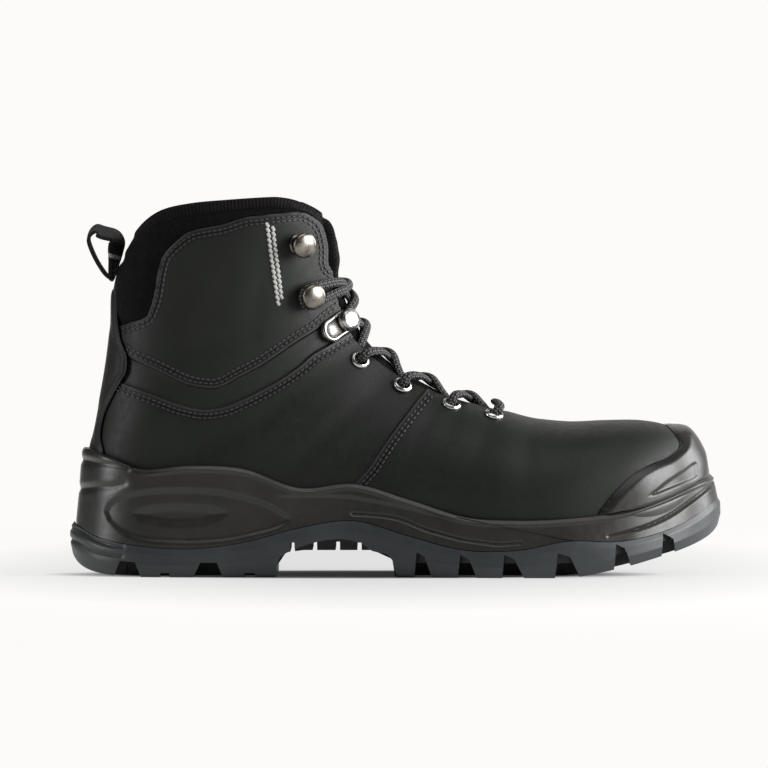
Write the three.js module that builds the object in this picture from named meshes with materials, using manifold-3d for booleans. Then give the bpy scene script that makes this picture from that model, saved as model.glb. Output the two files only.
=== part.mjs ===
// A right lace-up safety work boot. Millimetres, +X to the toe, -Y the lateral side, +Z up.
// The floor is z = 0, and the origin is under the middle of the boot.
import * as THREE from 'three';
import { mergeVertices } from 'three/addons/utils/BufferGeometryUtils.js';
import Module from 'manifold-3d';

const wasm = await Module();
wasm.setup();
const { Manifold, Mesh: RawMesh } = wasm;

// Driving sizes
const bootLength = 312;        // over the outsole, heel to toe
const ballWidth = 112;         // over the outsole at the ball
const bootHeight = 181;        // floor to the top of the collar
const instepHeight = 100.5;    // floor to the leather over the instep
const heelHeight = 31;         // floor to the foot bed at the heel
const leatherWall = 2.2;
const collarPad = 6;           // thickness of the padded cuff behind the leather
const collarPuff = 1;          // how far the cuff's top stands outside the leather
const tongueThickness = 4;
const insoleThickness = 4;
const overlayThickness = 1.6;  // backstay
const guardThickness = 3;      // toe guard over the leather
const gap = 0.3;               // between pieces that meet
const treadDepth = 7;          // depth of the grooves between the lugs
const recessDepth = 1.0;       // the recesses moulded in the midsole and the toe guard
const recessClear = 1.8;       // the midsole's wall left between a recess and the leather
const throatReach = 14;        // how far the throat's cut stands outside the leather
const throatDepth = 10;        // and how far it reaches inside
const laceWidth = 4.4;
const laceSides = 5;
const eyeletRadius = 4.7;
const eyeletBore = 2.8;
const eyeletHeight = 1.1;
const hookRadius = 6.2;
const hookPost = 2.6;          // radius of a hook's post
const hookHeight = 8.6;
const webbingWidth = 18;       // pull loop
const webbingThickness = 1.8;
const lockLength = 21;         // base plate of the lace lock
const lockWidth = 11;
const plateThickness = 1.4;
const camRadius = 5.4;
const camThickness = 4.4;

// Sections of the leather's outer skin, from the toe tip back along the foot and then up the shaft.
// Each lies in its own plane, from a low end on the bed or heel to a high end on the instep or shin.
// lowX, topX: shares of bootLength. lowLevel: 1 at heelHeight, 2 at bootHeight. topLevel: 1 at
// instepHeight, 2 at bootHeight. lateral, medial, middle: shares of ballWidth. widest: share of the
// way up. lowPower, topPower: how square the section is below and above its widest place.
const skinColumns = ['lowX', 'lowLevel', 'topX', 'topLevel', 'lateral', 'medial', 'middle',
  'widest', 'lowPower', 'topPower'];
const skinRows = [
  [0.973, 1.02, 0.973, 0.490, 0.054, 0.054, 0.076, 0.50, 2.0, 2.0],
  [0.966, 0.84, 0.966, 0.588, 0.170, 0.152, 0.071, 0.45, 2.6, 2.2],
  [0.947, 0.68, 0.947, 0.662, 0.277, 0.250, 0.067, 0.40, 3.2, 2.3],
  [0.917, 0.60, 0.917, 0.711, 0.362, 0.330, 0.058, 0.38, 3.8, 2.4],
  [0.875, 0.55, 0.875, 0.735, 0.429, 0.388, 0.049, 0.36, 4.2, 2.5],
  [0.821, 0.52, 0.821, 0.735, 0.469, 0.429, 0.040, 0.35, 4.2, 2.5],
  [0.763, 0.52, 0.763, 0.730, 0.487, 0.438, 0.027, 0.33, 4.2, 2.3],
  [0.699, 0.52, 0.699, 0.755, 0.482, 0.420, 0.018, 0.30, 4.0, 2.1],
  [0.635, 0.54, 0.636, 0.814, 0.451, 0.384, 0.009, 0.28, 4.0, 1.95],
  [0.564, 0.58, 0.590, 0.858, 0.406, 0.344, 0.004, 0.28, 4.0, 1.9],
  [0.474, 0.65, 0.545, 0.926, 0.366, 0.299, 0.000, 0.29, 4.0, 1.9],
  [0.365, 0.73, 0.505, 1.000, 0.344, 0.295, 0.000, 0.31, 4.0, 1.9],
  [0.250, 0.81, 0.473, 1.099, 0.339, 0.308, 0.000, 0.33, 4.0, 2.0],
  [0.141, 0.87, 0.454, 1.185, 0.339, 0.321, 0.000, 0.36, 3.8, 2.0],
  [0.058, 1.01, 0.441, 1.272, 0.330, 0.321, 0.000, 0.40, 2.7, 2.1],
  [0.034, 1.14, 0.431, 1.358, 0.326, 0.321, 0.000, 0.42, 2.3, 2.2],
  [0.0455, 1.29, 0.423, 1.444, 0.326, 0.326, 0.000, 0.43, 2.2, 2.2],
  [0.0585, 1.44, 0.417, 1.531, 0.330, 0.330, 0.000, 0.44, 2.2, 2.3],
  [0.0665, 1.57, 0.414, 1.617, 0.339, 0.339, 0.000, 0.45, 2.2, 2.3],
  [0.070, 1.70, 0.410, 1.704, 0.353, 0.353, 0.000, 0.45, 2.2, 2.3],
  [0.084, 1.82, 0.407, 1.802, 0.366, 0.366, 0.000, 0.45, 2.2, 2.3],
  [0.096, 1.93, 0.404, 1.914, 0.375, 0.375, 0.000, 0.45, 2.2, 2.3],
  [0.101, 2.05, 0.401, 2.070, 0.379, 0.379, 0.000, 0.45, 2.2, 2.3],
];

// Plan and side of the sole, from the heel's back to the toe tip. along: share of bootLength.
// lateral, medial: shares of ballWidth from the middle line. tread, line, edge, bed: heights of the
// tread, the outsole's top, the midsole's top and its floor, shares of heelHeight. tuck: how far in
// the midsole's top edge lies, in mm.
const soleColumns = ['along', 'lateral', 'medial', 'tread', 'line', 'edge', 'bed', 'tuck'];
const soleRows = [
  [0.000, 0.000, 0.000, 0.390, 0.83, 1.97, 1.00, 6.0],
  [0.014, 0.154, 0.154, 0.160, 0.71, 1.95, 1.00, 5.5],
  [0.051, 0.284, 0.282, 0.040, 0.57, 1.84, 1.00, 4.0],
  [0.109, 0.366, 0.359, 0.000, 0.47, 1.65, 1.00, 2.8],
  [0.186, 0.396, 0.388, 0.000, 0.43, 1.71, 1.00, 2.4],
  [0.269, 0.395, 0.380, 0.000, 0.53, 1.66, 0.96, 2.4],
  [0.353, 0.386, 0.366, 0.000, 0.75, 1.37, 0.90, 2.4],
  [0.436, 0.389, 0.359, 0.000, 0.86, 1.43, 1.00, 2.4],
  [0.519, 0.420, 0.374, 0.000, 0.63, 1.19, 0.86, 2.4],
  [0.603, 0.474, 0.419, 0.000, 0.42, 0.93, 0.76, 2.2],
  [0.686, 0.508, 0.476, 0.000, 0.42, 0.88, 0.73, 2.2],
  [0.763, 0.505, 0.504, 0.000, 0.56, 0.91, 0.74, 2.2],
  [0.840, 0.462, 0.494, 0.139, 0.55, 1.00, 0.78, 2.4],
  [0.904, 0.384, 0.450, 0.310, 0.68, 1.19, 0.86, 3.0],
  [0.955, 0.268, 0.357, 0.517, 0.89, 1.39, 1.02, 3.6],
  [0.987, 0.116, 0.241, 0.700, 1.10, 1.50, 1.20, 4.0],
  [1.000, -0.071, 0.071, 0.900, 1.20, 1.55, 1.26, 4.2],
];

// Heights named by level
const mix = (a, b, share) => a + (b - a) * share;
const alongX = (share) => (share - 0.5) * bootLength;
const backZ = (level) => (level < 1 ? level * heelHeight
  : mix(heelHeight, bootHeight, level - 1));
const frontZ = (level) => (level < 1 ? level * instepHeight
  : mix(instepHeight, bootHeight, level - 1));

// A smooth curve through a column of a table
function through(before, from, to, after, share) {
  return 0.5 * (2 * from + (to - before) * share
    + (2 * before - 5 * from + 4 * to - after) * share * share
    + (3 * from - before - 3 * to + after) * share ** 3);
}

function columnAt(rows, column, place) {
  const last = rows.length - 1;
  const row = Math.min(Math.max(Math.floor(place), 0), last - 1);
  const value = (index) => {
    if (index < 0) return 2 * rows[0][column] - rows[1][column];
    if (index > last) return 2 * rows[last][column] - rows[last - 1][column];
    return rows[index][column];
  };
  return through(value(row - 1), value(row), value(row + 1), value(row + 2), place - row);
}

function rowAt(rows, columns, place) {
  const row = {};
  columns.forEach((name, column) => {
    row[name] = columnAt(rows, column, place);
  });
  return row;
}

// The skin: station counts the sections from the toe, turn goes round one from its low end (0) by
// the lateral side to its high end (0.5) and back by the medial side.
function barePoint(station, turn) {
  const rib = rowAt(skinRows, skinColumns, station);
  const around = turn - Math.floor(turn);
  const lateral = around < 0.5;
  const angle = (lateral ? around : 1 - around) * 2 * Math.PI;
  const power = angle < Math.PI / 2 ? rib.lowPower : rib.topPower;
  const reach = Math.abs(Math.cos(angle)) ** (2 / power);
  const bulge = Math.max(Math.sin(angle), 0) ** (2 / power);
  const share = angle < Math.PI / 2 ? rib.widest * (1 - reach)
    : rib.widest + (1 - rib.widest) * reach;
  const width = (lateral ? -rib.lateral : rib.medial) * bulge + rib.middle;
  return new THREE.Vector3(mix(alongX(rib.lowX), alongX(rib.topX), share), width * ballWidth,
    mix(backZ(rib.lowLevel), frontZ(rib.topLevel), share));
}

const stationStep = 0.15;
const turnStep = 0.012;

function skinNormal(station, turn) {
  const ahead = barePoint(station + stationStep, turn).sub(barePoint(station - stationStep, turn));
  const round = barePoint(station, turn + turnStep).sub(barePoint(station, turn - turnStep));
  return round.cross(ahead).normalize();
}

function skinPoint(station, turn, offset) {
  return barePoint(station, turn).addScaledVector(skinNormal(station, turn), offset);
}

// The turn that lies a distance round the section from its high end, medial when positive
function turnAt(station, distance) {
  const step = 0.002 * Math.sign(distance || 1);
  let turn = 0.5;
  let left = Math.abs(distance);
  let from = barePoint(station, turn);
  while (left > 0) {
    const to = barePoint(station, turn + step);
    const length = to.distanceTo(from);
    if (length >= left) return turn + step * (left / length);
    left -= length;
    from = to;
    turn += step;
  }
  return turn;
}

// Solids
function solidFrom(geometry) {
  const bare = geometry.clone();
  bare.deleteAttribute('normal');
  bare.deleteAttribute('uv');
  const merged = mergeVertices(bare, 1e-4);
  return new Manifold(new RawMesh({
    numProp: 3,
    vertProperties: new Float32Array(merged.attributes.position.array),
    triVerts: new Uint32Array(merged.index.array),
  }));
}

// Rings of as many points each, joined into a closed skin. A cap joins each point to its partner.
function ringSolid(rings, partner) {
  const count = rings[0].length;
  const positions = rings.flat().flatMap((point) => [point.x, point.y, point.z]);
  const faces = [];
  for (let ring = 0; ring < rings.length - 1; ring += 1) {
    for (let point = 0; point < count; point += 1) {
      const next = (point + 1) % count;
      const low = ring * count;
      const high = low + count;
      faces.push([low + point, low + next, high + next], [low + point, high + next, high + point]);
    }
  }
  const cap = (start, turned) => {
    for (let point = 0; point < count / 2; point += 1) {
      const quad = [point, point + 1, partner(point + 1, count), partner(point, count)];
      const halves = [[quad[0], quad[2], quad[1]], [quad[0], quad[3], quad[2]]];
      halves.filter((half) => new Set(half).size === 3).forEach((half) => {
        const placed = half.map((index) => start + index);
        faces.push(turned ? placed.reverse() : placed);
      });
    }
  };
  cap(0, false);
  cap((rings.length - 1) * count, true);
  let volume = 0;
  const at = (index) => new THREE.Vector3().fromArray(positions, index * 3);
  faces.forEach(([a, b, c]) => {
    volume += at(a).dot(at(b).cross(at(c)));
  });
  const outward = volume > 0 ? faces : faces.map(([a, b, c]) => [a, c, b]);
  const geometry = new THREE.BufferGeometry();
  geometry.setAttribute('position', new THREE.Float32BufferAttribute(positions, 3));
  geometry.setIndex(outward.flat());
  return solidFrom(geometry);
}

const acrossPole = (point, count) => (count - point) % count;   // rings with a point at each end
const acrossBand = (point, count) => count - 1 - point;         // rings of two facing edges

// A prism across the boot from an outline in side view
function sidePrism(outline, near = -ballWidth, far = ballWidth) {
  const shape = new THREE.Shape(outline.map(([x, z]) => new THREE.Vector2(x, z)));
  const geometry = new THREE.ExtrudeGeometry(shape, { depth: far - near, bevelEnabled: false });
  geometry.rotateX(Math.PI / 2);
  geometry.translate(0, far, 0);
  return solidFrom(geometry);
}

const stations = [0, 0.5, 1, 1.5, 2, 3, 4, 5, 6, 7, 8, 9, 10, 11, 12, 13, 13.5, 14, 14.5, 15, 16, 17,
  19, 21, 22];
const skinSides = 22;

function skinBody(offset, list = stations) {
  const rings = list.map((station) => Array.from({ length: skinSides },
    (unused, index) => skinPoint(station, index / skinSides, offset)));
  return ringSolid(rings, acrossPole);
}

// The sole's plan: place counts the rows from the heel along the lateral side to the toe, then
// back along the medial side.
const soleLast = soleRows.length - 1;

function solePoint(place) {
  const count = soleLast * 2;
  const rowOf = (index) => {
    const wrapped = ((index % count) + count) % count;
    const lateral = wrapped <= soleLast;
    const row = soleRows[lateral ? wrapped : count - wrapped];
    return [row[0], lateral ? -row[1] : row[2]];
  };
  const first = Math.floor(place);
  const near = [-1, 0, 1, 2].map((step) => rowOf(first + step));
  const [x, y] = [0, 1].map((axis) => through(...near.map((row) => row[axis]), place - first));
  return new THREE.Vector2(alongX(x), y * ballWidth);
}

const placeStep = 0.05;

function soleRing(level, inset, sides = soleLast * 3) {
  return Array.from({ length: sides }, (unused, index) => {
    const place = (index / sides) * soleLast * 2;
    const row = rowAt(soleRows, soleColumns, place <= soleLast ? place : soleLast * 2 - place);
    const tangent = solePoint(place + placeStep).sub(solePoint(place - placeStep)).normalize();
    const point = solePoint(place);
    const depth = inset(row);
    return new THREE.Vector3(point.x - tangent.y * depth, point.y + tangent.x * depth, level(row));
  });
}

const soleBody = (levels) => ringSolid(levels.map(([level, inset]) => soleRing(level, inset)),
  acrossPole);

// Everything below a line of the sole's table, raised by lift
function belowLine(column, lift) {
  const steps = soleLast * 2;
  const top = Array.from({ length: steps + 1 }, (unused, index) => {
    const row = rowAt(soleRows, soleColumns, index / 2);
    return [alongX(row.along), row[column] * heelHeight + lift];
  });
  const reach = bootLength;
  return sidePrism([[-reach, -reach], [reach, -reach], [reach, top[steps][1]], ...top.reverse(),
    [-reach, top[0][1]]]);
}

// Outlines in side view are lists of [share of bootLength, share of bootHeight].
const sideOutline = (rows) => rows.map(([along, rise]) => [alongX(along), rise * bootHeight]);

// Leather's top edge on the quarters, from behind the heel to the front of the shaft
const leatherTop = sideOutline([[-0.05, 0.627], [0.07, 0.657], [0.094, 0.669], [0.117, 0.682],
  [0.125, 0.708], [0.131, 0.743], [0.136, 0.794], [0.142, 0.834], [0.152, 0.860], [0.168, 0.886],
  [0.186, 0.907], [0.209, 0.917], [0.235, 0.925], [0.27, 0.944], [0.293, 0.949], [0.316, 0.954],
  [0.355, 0.959], [0.374, 0.947], [0.389, 0.920], [0.397, 0.870], [0.402, 0.809], [0.45, 0.799]]);
const over = 0.4;
const aboveLeather = (lift) => sidePrism([...leatherTop.map(([x, z]) => [x, z + lift]),
  ...sideOutline([[0.45, 1 + over], [-0.05, 1 + over]])]);

// The cuff's rounded top, from the back to the front of the shaft
const collarTop = sideOutline([[-0.05, 0.80], [0.065, 0.82], [0.083, 0.86], [0.098, 0.90],
  [0.12, 0.94], [0.148, 0.967], [0.19, 0.982], [0.24, 0.99], [0.30, 0.997], [0.325, 0.997],
  [0.345, 0.985], [0.362, 0.96], [0.385, 0.925], [0.40, 0.89], [0.407, 0.85], [0.45, 0.80]]);
const aboveCollar = sidePrism([...collarTop, ...sideOutline([[0.45, 1 + over], [-0.05, 1 + over]])]);
const collarFoot = 0.60;       // share of bootHeight where the cuff's lining ends
const cuffFront = 0.388;       // share of bootLength where the cuff stops standing outside the leather
const behindFront = sidePrism(sideOutline([[-0.2, -over], [cuffFront, -over],
  [cuffFront, 1 + over], [-0.2, 1 + over]]));
const belowCollar = sidePrism(sideOutline([[-0.1, -over], [1, -over], [1, collarFoot],
  [-0.1, collarFoot]]));

// The throat between the eyestays: half its width round the skin at each station
const throatRows = [[7.35, 1.5], [7.55, 6.5], [7.9, 9.5], [9, 11.5], [11, 13.5], [13, 15], [15, 15.5],
  [17, 15.5], [19, 15.5], [21, 15.5], [22, 15.5]];

function bandRing(station, half, outer, inner, sides) {
  const across = Array.from({ length: sides + 1 }, (unused, index) => turnAt(station,
    half * (2 * index / sides - 1)));
  return [...across.map((turn) => skinPoint(station, turn, outer)),
    ...across.reverse().map((turn) => skinPoint(station, turn, inner))];
}

function throat(grow) {
  return ringSolid(throatRows.map(([station, half]) => bandRing(station, half + grow, throatReach,
    -throatDepth, 2)),
    acrossBand);
}

// Pieces
const skinOut = skinBody(0);
const belowBed = belowLine('bed', gap);

function makeUpper() {
  return skinOut.subtract(skinBody(-leatherWall)).subtract(belowBed).subtract(aboveLeather(0))
    .subtract(throat(0));
}

// The midsole's outer form, grown by an amount on every side
function midsoleBlock(grow) {
  const level = (column, lift) => (row) => row[column] * heelHeight + lift;
  const between = (share) => (row) => mix(row.line, row.edge, share) * heelHeight;
  return soleBody([
    [level('line', gap - grow), (row) => row.tuck * 0.5 - grow],
    [between(0.35), (row) => row.tuck * 0.7 - grow],
    [between(0.7), (row) => row.tuck * 0.85 - grow],
    [level('edge', grow), (row) => row.tuck - grow],
  ]);
}

// Recesses in the midsole's sides: the long oval at the heel and the sweep along the forefoot
const heelOval = sideOutline([[0.055, 0.172], [0.068, 0.227], [0.11, 0.258], [0.18, 0.270],
  [0.27, 0.263], [0.335, 0.243], [0.30, 0.227], [0.25, 0.194], [0.19, 0.167], [0.12, 0.157],
  [0.08, 0.157]]);
const forefootSweep = sideOutline([[0.36, 0.187], [0.46, 0.184], [0.53, 0.167], [0.60, 0.128],
  [0.66, 0.104], [0.60, 0.118], [0.53, 0.154], [0.46, 0.170], [0.37, 0.174]]);

function makeMidsole() {
  const rim = midsoleBlock(laceWidth).subtract(midsoleBlock(-recessDepth));
  const recesses = sidePrism(heelOval).add(sidePrism(forefootSweep)).intersect(rim)
    .subtract(skinBody(recessClear));
  return midsoleBlock(0).subtract(recesses).subtract(skinBody(gap).subtract(belowLine('bed', 0)));
}

// The toe guard: everything ahead of this edge, up to the midsole
const guardEdge = sideOutline([[0.803, 0.101], [0.809, 0.168], [0.817, 0.189], [0.832, 0.221],
  [0.852, 0.255], [0.868, 0.277], [0.891, 0.298], [0.914, 0.313], [0.932, 0.335], [0.935, 0.353],
  [0.926, 0.379], [0.914, 0.398], [0.891, 0.420], [0.888, 0.506], [1.05, 0.506], [1.05, 0.101]]);
const guardWindow = sideOutline([[0.884, 0.215], [0.93, 0.288], [0.955, 0.306], [0.957, 0.261],
  [0.92, 0.238]]);

function makeGuard() {
  const shell = skinBody(guardThickness).subtract(skinBody(gap)).intersect(sidePrism(guardEdge));
  const dent = skinBody(guardThickness * 2).subtract(skinBody(guardThickness - recessDepth))
    .intersect(sidePrism(guardWindow));
  return shell.subtract(midsoleBlock(gap)).subtract(belowBed).subtract(dent);
}

// The strip up the heel, over the leather and the cuff
const backstayEdge = sideOutline([[-0.1, 0.765], [0.069, 0.765], [0.075, 0.663], [0.080, 0.618],
  [0.089, 0.578], [0.088, 0.539], [0.080, 0.513], [0.065, 0.467], [0.053, 0.420], [0.048, 0.366],
  [0.053, 0.322], [0.056, 0.202], [-0.1, 0.202]]);

function makeBackstay(grow = 0) {
  return skinBody(gap + overlayThickness + grow).subtract(skinBody(gap - grow))
    .intersect(sidePrism(backstayEdge)).subtract(midsoleBlock(gap)).subtract(belowBed);
}

// The pull loop in side view: how far its middle lies behind the cuff's back, in mm, and its height
const loopRows = [[1.7, 0.781], [1.6, 0.814], [1.6, 0.851], [3.5, 0.879], [7.7, 0.900],
  [11.8, 0.918], [15.6, 0.923], [18.0, 0.910], [18.2, 0.890], [16.2, 0.868], [11.9, 0.833],
  [6.6, 0.801], [3.4, 0.786]];

function backX(rise) {
  let station = 14;
  while (backZ(columnAt(skinRows, 1, station)) < rise * bootHeight) station += 0.05;
  return skinPoint(station, 0, collarPuff).x;
}

function makePullLoop() {
  const middle = loopRows.map(([out, rise]) => new THREE.Vector2(backX(rise) - out,
    rise * bootHeight));
  const line = (side) => middle.map((point, index) => {
    const next = middle[(index + 1) % middle.length];
    const last = middle[(index + middle.length - 1) % middle.length];
    const along = next.clone().sub(last).normalize();
    return new THREE.Vector2(point.x + along.y * side, point.y - along.x * side);
  });
  const shape = new THREE.Shape(line(webbingThickness / 2));
  shape.holes.push(new THREE.Path(line(-webbingThickness / 2)));
  const geometry = new THREE.ExtrudeGeometry(shape, { depth: webbingWidth, bevelEnabled: false });
  geometry.rotateX(Math.PI / 2);
  geometry.translate(0, webbingWidth / 2, 0);
  return solidFrom(geometry);
}

// Lug table, heel to toe. Cuts in from the sides: from and to in shares of bootLength, and depth and
// rise in mm, where rise is how high the cut climbs in the outer wall. Cuts across the middle: from
// and to.
const sideCuts = [[0.078, 0.110, 7, 0], [0.142, 0.156, 2, 0], [0.190, 0.231, 7, 0],
  [0.270, 0.286, 2, 0], [0.533, 0.550, 7, 12], [0.597, 0.614, 7, 11], [0.662, 0.681, 7, 11],
  [0.746, 0.763, 7, 12], [0.830, 0.850, 7, 12], [0.901, 0.918, 7, 11]];
const middleCuts = [[0.160, 0.180], [0.245, 0.265], [0.575, 0.59], [0.632, 0.65], [0.706, 0.724],
  [0.79, 0.808], [0.868, 0.886]];
const lugSlope = 0.006;        // how much a cut widens at the floor, share of bootLength
const wallDepth = 4;           // how deep the cuts climb in the outer wall
const middleHalf = 0.16;       // half the middle band of lugs, share of ballWidth
const channelWidth = 0.045;    // between the middle band and the side lugs, share of ballWidth
const archCut = sideOutline([[0.317, -0.1], [0.320, 0.03], [0.333, 0.063], [0.37, 0.088],
  [0.40, 0.099], [0.425, 0.099], [0.448, 0.088], [0.465, 0.069], [0.495, 0.045], [0.508, -0.1]]);
const archFloor = sideOutline([[0.317, -0.1], [0.320, 0.03], [0.333, 0.063], [0.36, 0.069],
  [0.465, 0.069], [0.495, 0.045], [0.508, -0.1]]);
const archSide = 0.25;         // the arch is higher outside this, share of ballWidth

// The tread's height at a share of bootLength
function treadAt(along) {
  const ahead = soleRows.filter((row) => row[0] > along).length;
  const place = Math.min(Math.max(soleRows.length - ahead, 1), soleLast);
  const [before, after] = [soleRows[place - 1], soleRows[place]];
  return heelHeight * Math.max(mix(before[3], after[3], (along - before[0])
    / (after[0] - before[0])), 0);
}

function makeOutsole() {
  const ground = (row) => Math.max(row.tread, 0);
  let body = soleBody([
    [(row) => ground(row) * heelHeight, () => 1.2],
    [(row) => mix(ground(row), row.line, 0.4) * heelHeight, () => 0],
    [(row) => mix(ground(row), row.line, 0.8) * heelHeight, () => 0.2],
    [(row) => row.line * heelHeight, (row) => row.tuck * 0.4],
  ]);
  const floorCut = (from, to, near, far, depth = treadDepth) => {
    const outline = [[alongX(from - lugSlope), -treadDepth], [alongX(to + lugSlope), -treadDepth],
      [alongX(to), treadAt(to) + depth], [alongX(from), treadAt(from) + depth]];
    return sidePrism(outline, near * ballWidth, far * ballWidth);
  };
  const wall = soleBody([[() => -treadDepth, () => -wallDepth], [() => heelHeight, () => -wallDepth]])
    .subtract(soleBody([[() => -2 * treadDepth, () => wallDepth],
      [() => 2 * heelHeight, () => wallDepth]]));
  sideCuts.forEach(([from, to, depth, climb]) => {
    body = body.subtract(floorCut(from, to, middleHalf, 1, depth)).subtract(
      floorCut(from, to, -1, -middleHalf, depth));
    if (climb) {
      const peak = treadAt(from) + climb;
      body = body.subtract(sidePrism([[alongX(from - lugSlope), -treadDepth],
        [alongX(to + lugSlope), -treadDepth], [alongX(from + lugSlope), peak],
        [alongX(from), peak]]).intersect(wall));
    }
  });
  middleCuts.forEach(([from, to]) => {
    body = body.subtract(floorCut(from, to, -middleHalf, middleHalf));
  });
  [[0.09, 0.31], [0.525, 0.90]].forEach(([from, to]) => {
    [-1, 1].forEach((side) => {
      const near = side * middleHalf;
      const far = side * (middleHalf - channelWidth);
      const channel = floorCut(from, to, Math.min(near, far), Math.max(near, far));
      body = body.subtract(channel);
    });
  });
  return body.subtract(sidePrism(archFloor))
    .subtract(sidePrism(archCut, -ballWidth, -archSide * ballWidth));
}

function makeInsole() {
  const inside = skinBody(-leatherWall - gap);
  return inside.intersect(belowLine('bed', gap + insoleThickness)).subtract(belowLine('bed', gap));
}

// The tongue lies under the leather at the vamp and inside the cuff higher up, and its middle swells
// forward in the throat. tongueAcross: share of the half width, share of the swell.
const tongueRows = [[7.0, 14], [7.4, 20], [8, 23], [9, 25], [11, 27], [13, 28], [15, 28], [17, 28],
  [18.2, 28], [19.4, 28], [20.5, 28], [21.4, 26]];
const tongueAcross = [[-1, 0], [-0.56, 0], [-0.36, 1], [0, 1], [0.36, 1], [0.56, 0], [1, 0]];
const tongueMiddle = [-3.2, 0.5];     // how high the swell lies at the shin and at the cuff
const tongueTop = sideOutline([[0.27, 1.01], [0.33, 0.997], [0.353, 0.988], [0.378, 0.968],
  [0.392, 0.948], [0.404, 0.92], [0.415, 0.866], [0.45, 0.80]]);
const aboveTongue = sidePrism([...tongueTop, ...sideOutline([[0.45, 1 + over], [0.27, 1 + over]])]);

function makeTongue(grow = 0) {
  const rings = tongueRows.map(([station, half]) => {
    const climb = THREE.MathUtils.smoothstep(station, 12, 17);
    const edge = -leatherWall - gap - climb * (collarPad + gap);
    const rise = mix(...tongueMiddle, THREE.MathUtils.smoothstep(station, 16.8, 18.4));
    const swell = Math.max(rise - edge, 0);
    const turns = tongueAcross.map(([reach]) => turnAt(station, reach * (half + grow)));
    const front = turns.map((turn, index) => skinPoint(station, turn,
      edge + swell * tongueAcross[index][1] + grow));
    const back = turns.map((turn) => skinPoint(station, turn, edge - tongueThickness - grow));
    return [...front, ...back.reverse()];
  });
  return ringSolid(rings, acrossBand).intersect(skinBody(-leatherWall - gap + grow)
    .add(throat(grow - gap))).subtract(aboveTongue.translate([0, 0, grow]));
}

function makeCollar() {
  const inner = skinBody(-leatherWall - collarPad);
  const cuff = skinBody(collarPuff).subtract(inner).intersect(aboveLeather(gap))
    .intersect(behindFront);
  const lining = skinBody(-leatherWall - gap).subtract(inner);
  return cuff.add(lining).subtract(aboveCollar).subtract(belowCollar).subtract(throat(1))
    .subtract(makeTongue(gap)).subtract(makeBackstay(1.5 * gap));
}

// Hardware stands on the leather: station, and distance round the section from its high end
const eyeletRows = [[12.25, 22.0], [10.6, 19.4], [9.05, 19.0], [7.75, 20.0]];
const hookRows = [[19.5, 38.7], [16.7, 34.8]];
const lockRow = [14.35, 21.5];

// Places a piece on the leather, its X away from the shin and its Z along the skin's normal
function seated(geometry, [station, distance], side, lift) {
  const turn = turnAt(station, side * distance);
  const normal = skinNormal(station, turn);
  const away = skinPoint(station, turnAt(station, side * (distance + 1)), 0)
    .sub(skinPoint(station, turn, 0)).normalize();
  const across = new THREE.Vector3().crossVectors(normal, away).normalize();
  const frame = new THREE.Matrix4().makeBasis(across.clone().cross(normal), across, normal);
  frame.setPosition(skinPoint(station, turn, lift));
  return solidFrom(geometry.clone().applyMatrix4(frame));
}

const roundSides = 8;
const lathe = (profile) => new THREE.LatheGeometry(
  profile.map(([radius, height]) => new THREE.Vector2(radius, height)), roundSides)
  .rotateX(Math.PI / 2);
const hardwareLift = gap + 0.25;      // clears the leather's hollow curve at the ankle

function makeEyelet(row, side) {
  const ring = lathe([[eyeletBore, 0], [eyeletRadius, 0], [eyeletRadius, eyeletHeight / 2],
    [eyeletBore, eyeletHeight], [eyeletBore, 0]]);
  return seated(ring, row, side, hardwareLift);
}

const hookFoot = hookPost * 1.8;
const capThickness = 1.9;

function makeHook(row, side, grow = 0) {
  const [foot, cap] = [plateThickness + grow, hookHeight - capThickness - grow];
  const knob = lathe([[0, -grow], [hookFoot + grow, -grow], [hookFoot + grow, foot],
    [hookPost + grow, foot], [hookPost + grow, cap], [hookRadius + grow, cap],
    [hookRadius * 0.8 + grow, hookHeight - capThickness * 0.3], [0, hookHeight + grow]]);
  return seated(knob, row, side, hardwareLift);
}

const sunk = 3;                // how deep the lock's plate is made before the leather cuts it

function makeLockBase(side) {
  const half = (lockLength - lockWidth) / 2;
  const shape = new THREE.Shape();
  shape.absarc(half, 0, lockWidth / 2, -Math.PI / 2, Math.PI / 2, false);
  shape.absarc(-half, 0, lockWidth / 2, Math.PI / 2, Math.PI * 1.5, false);
  const geometry = new THREE.ExtrudeGeometry(shape, { depth: sunk + plateThickness,
    bevelEnabled: false, curveSegments: 6 });
  return seated(geometry, lockRow, side, hardwareLift - sunk).subtract(skinBody(gap));
}

function makeLockCam(side) {
  const cam = lathe([[0, 0], [camRadius, 0], [camRadius, camThickness * 0.8],
    [camRadius * 0.8, camThickness], [0, camThickness]]);
  cam.translate((lockWidth - lockLength) / 2, 0, 0);
  return seated(cam, lockRow, side, hardwareLift + plateThickness + gap);
}

// The lace lies on the leather: station, signed distance from the shin, height of its middle
const laceRadius = laceWidth / 2;
const overTongue = 0.5;
const overEdge = 3.3;          // over the edges of the throat
const overEyelet = hardwareLift + eyeletHeight + gap + laceRadius;
const overPlate = hardwareLift + plateThickness + 2.5 * gap + laceRadius;   // the leather falls away

// From the top eyelet over the shin to the other side's hook: shares of the way up and across,
// height
const shinRows = [[0, 0, overEyelet], [0.13, 0.09, overEyelet], [0.24, 0.165, overEdge],
  [0.46, 0.30, 1.1], [0.72, 0.45, overTongue], [0.92, 0.64, overEdge], [0.99, 0.82, 4.4]];

// Between two eyelets: share of the way, height
const crossRows = [[0, overEyelet], [0.13, overEyelet], [0.21, overEdge], [0.34, 1.4],
  [0.5, overTongue], [0.66, 1.4], [0.79, overEdge], [0.87, overEyelet], [1, overEyelet]];

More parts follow.
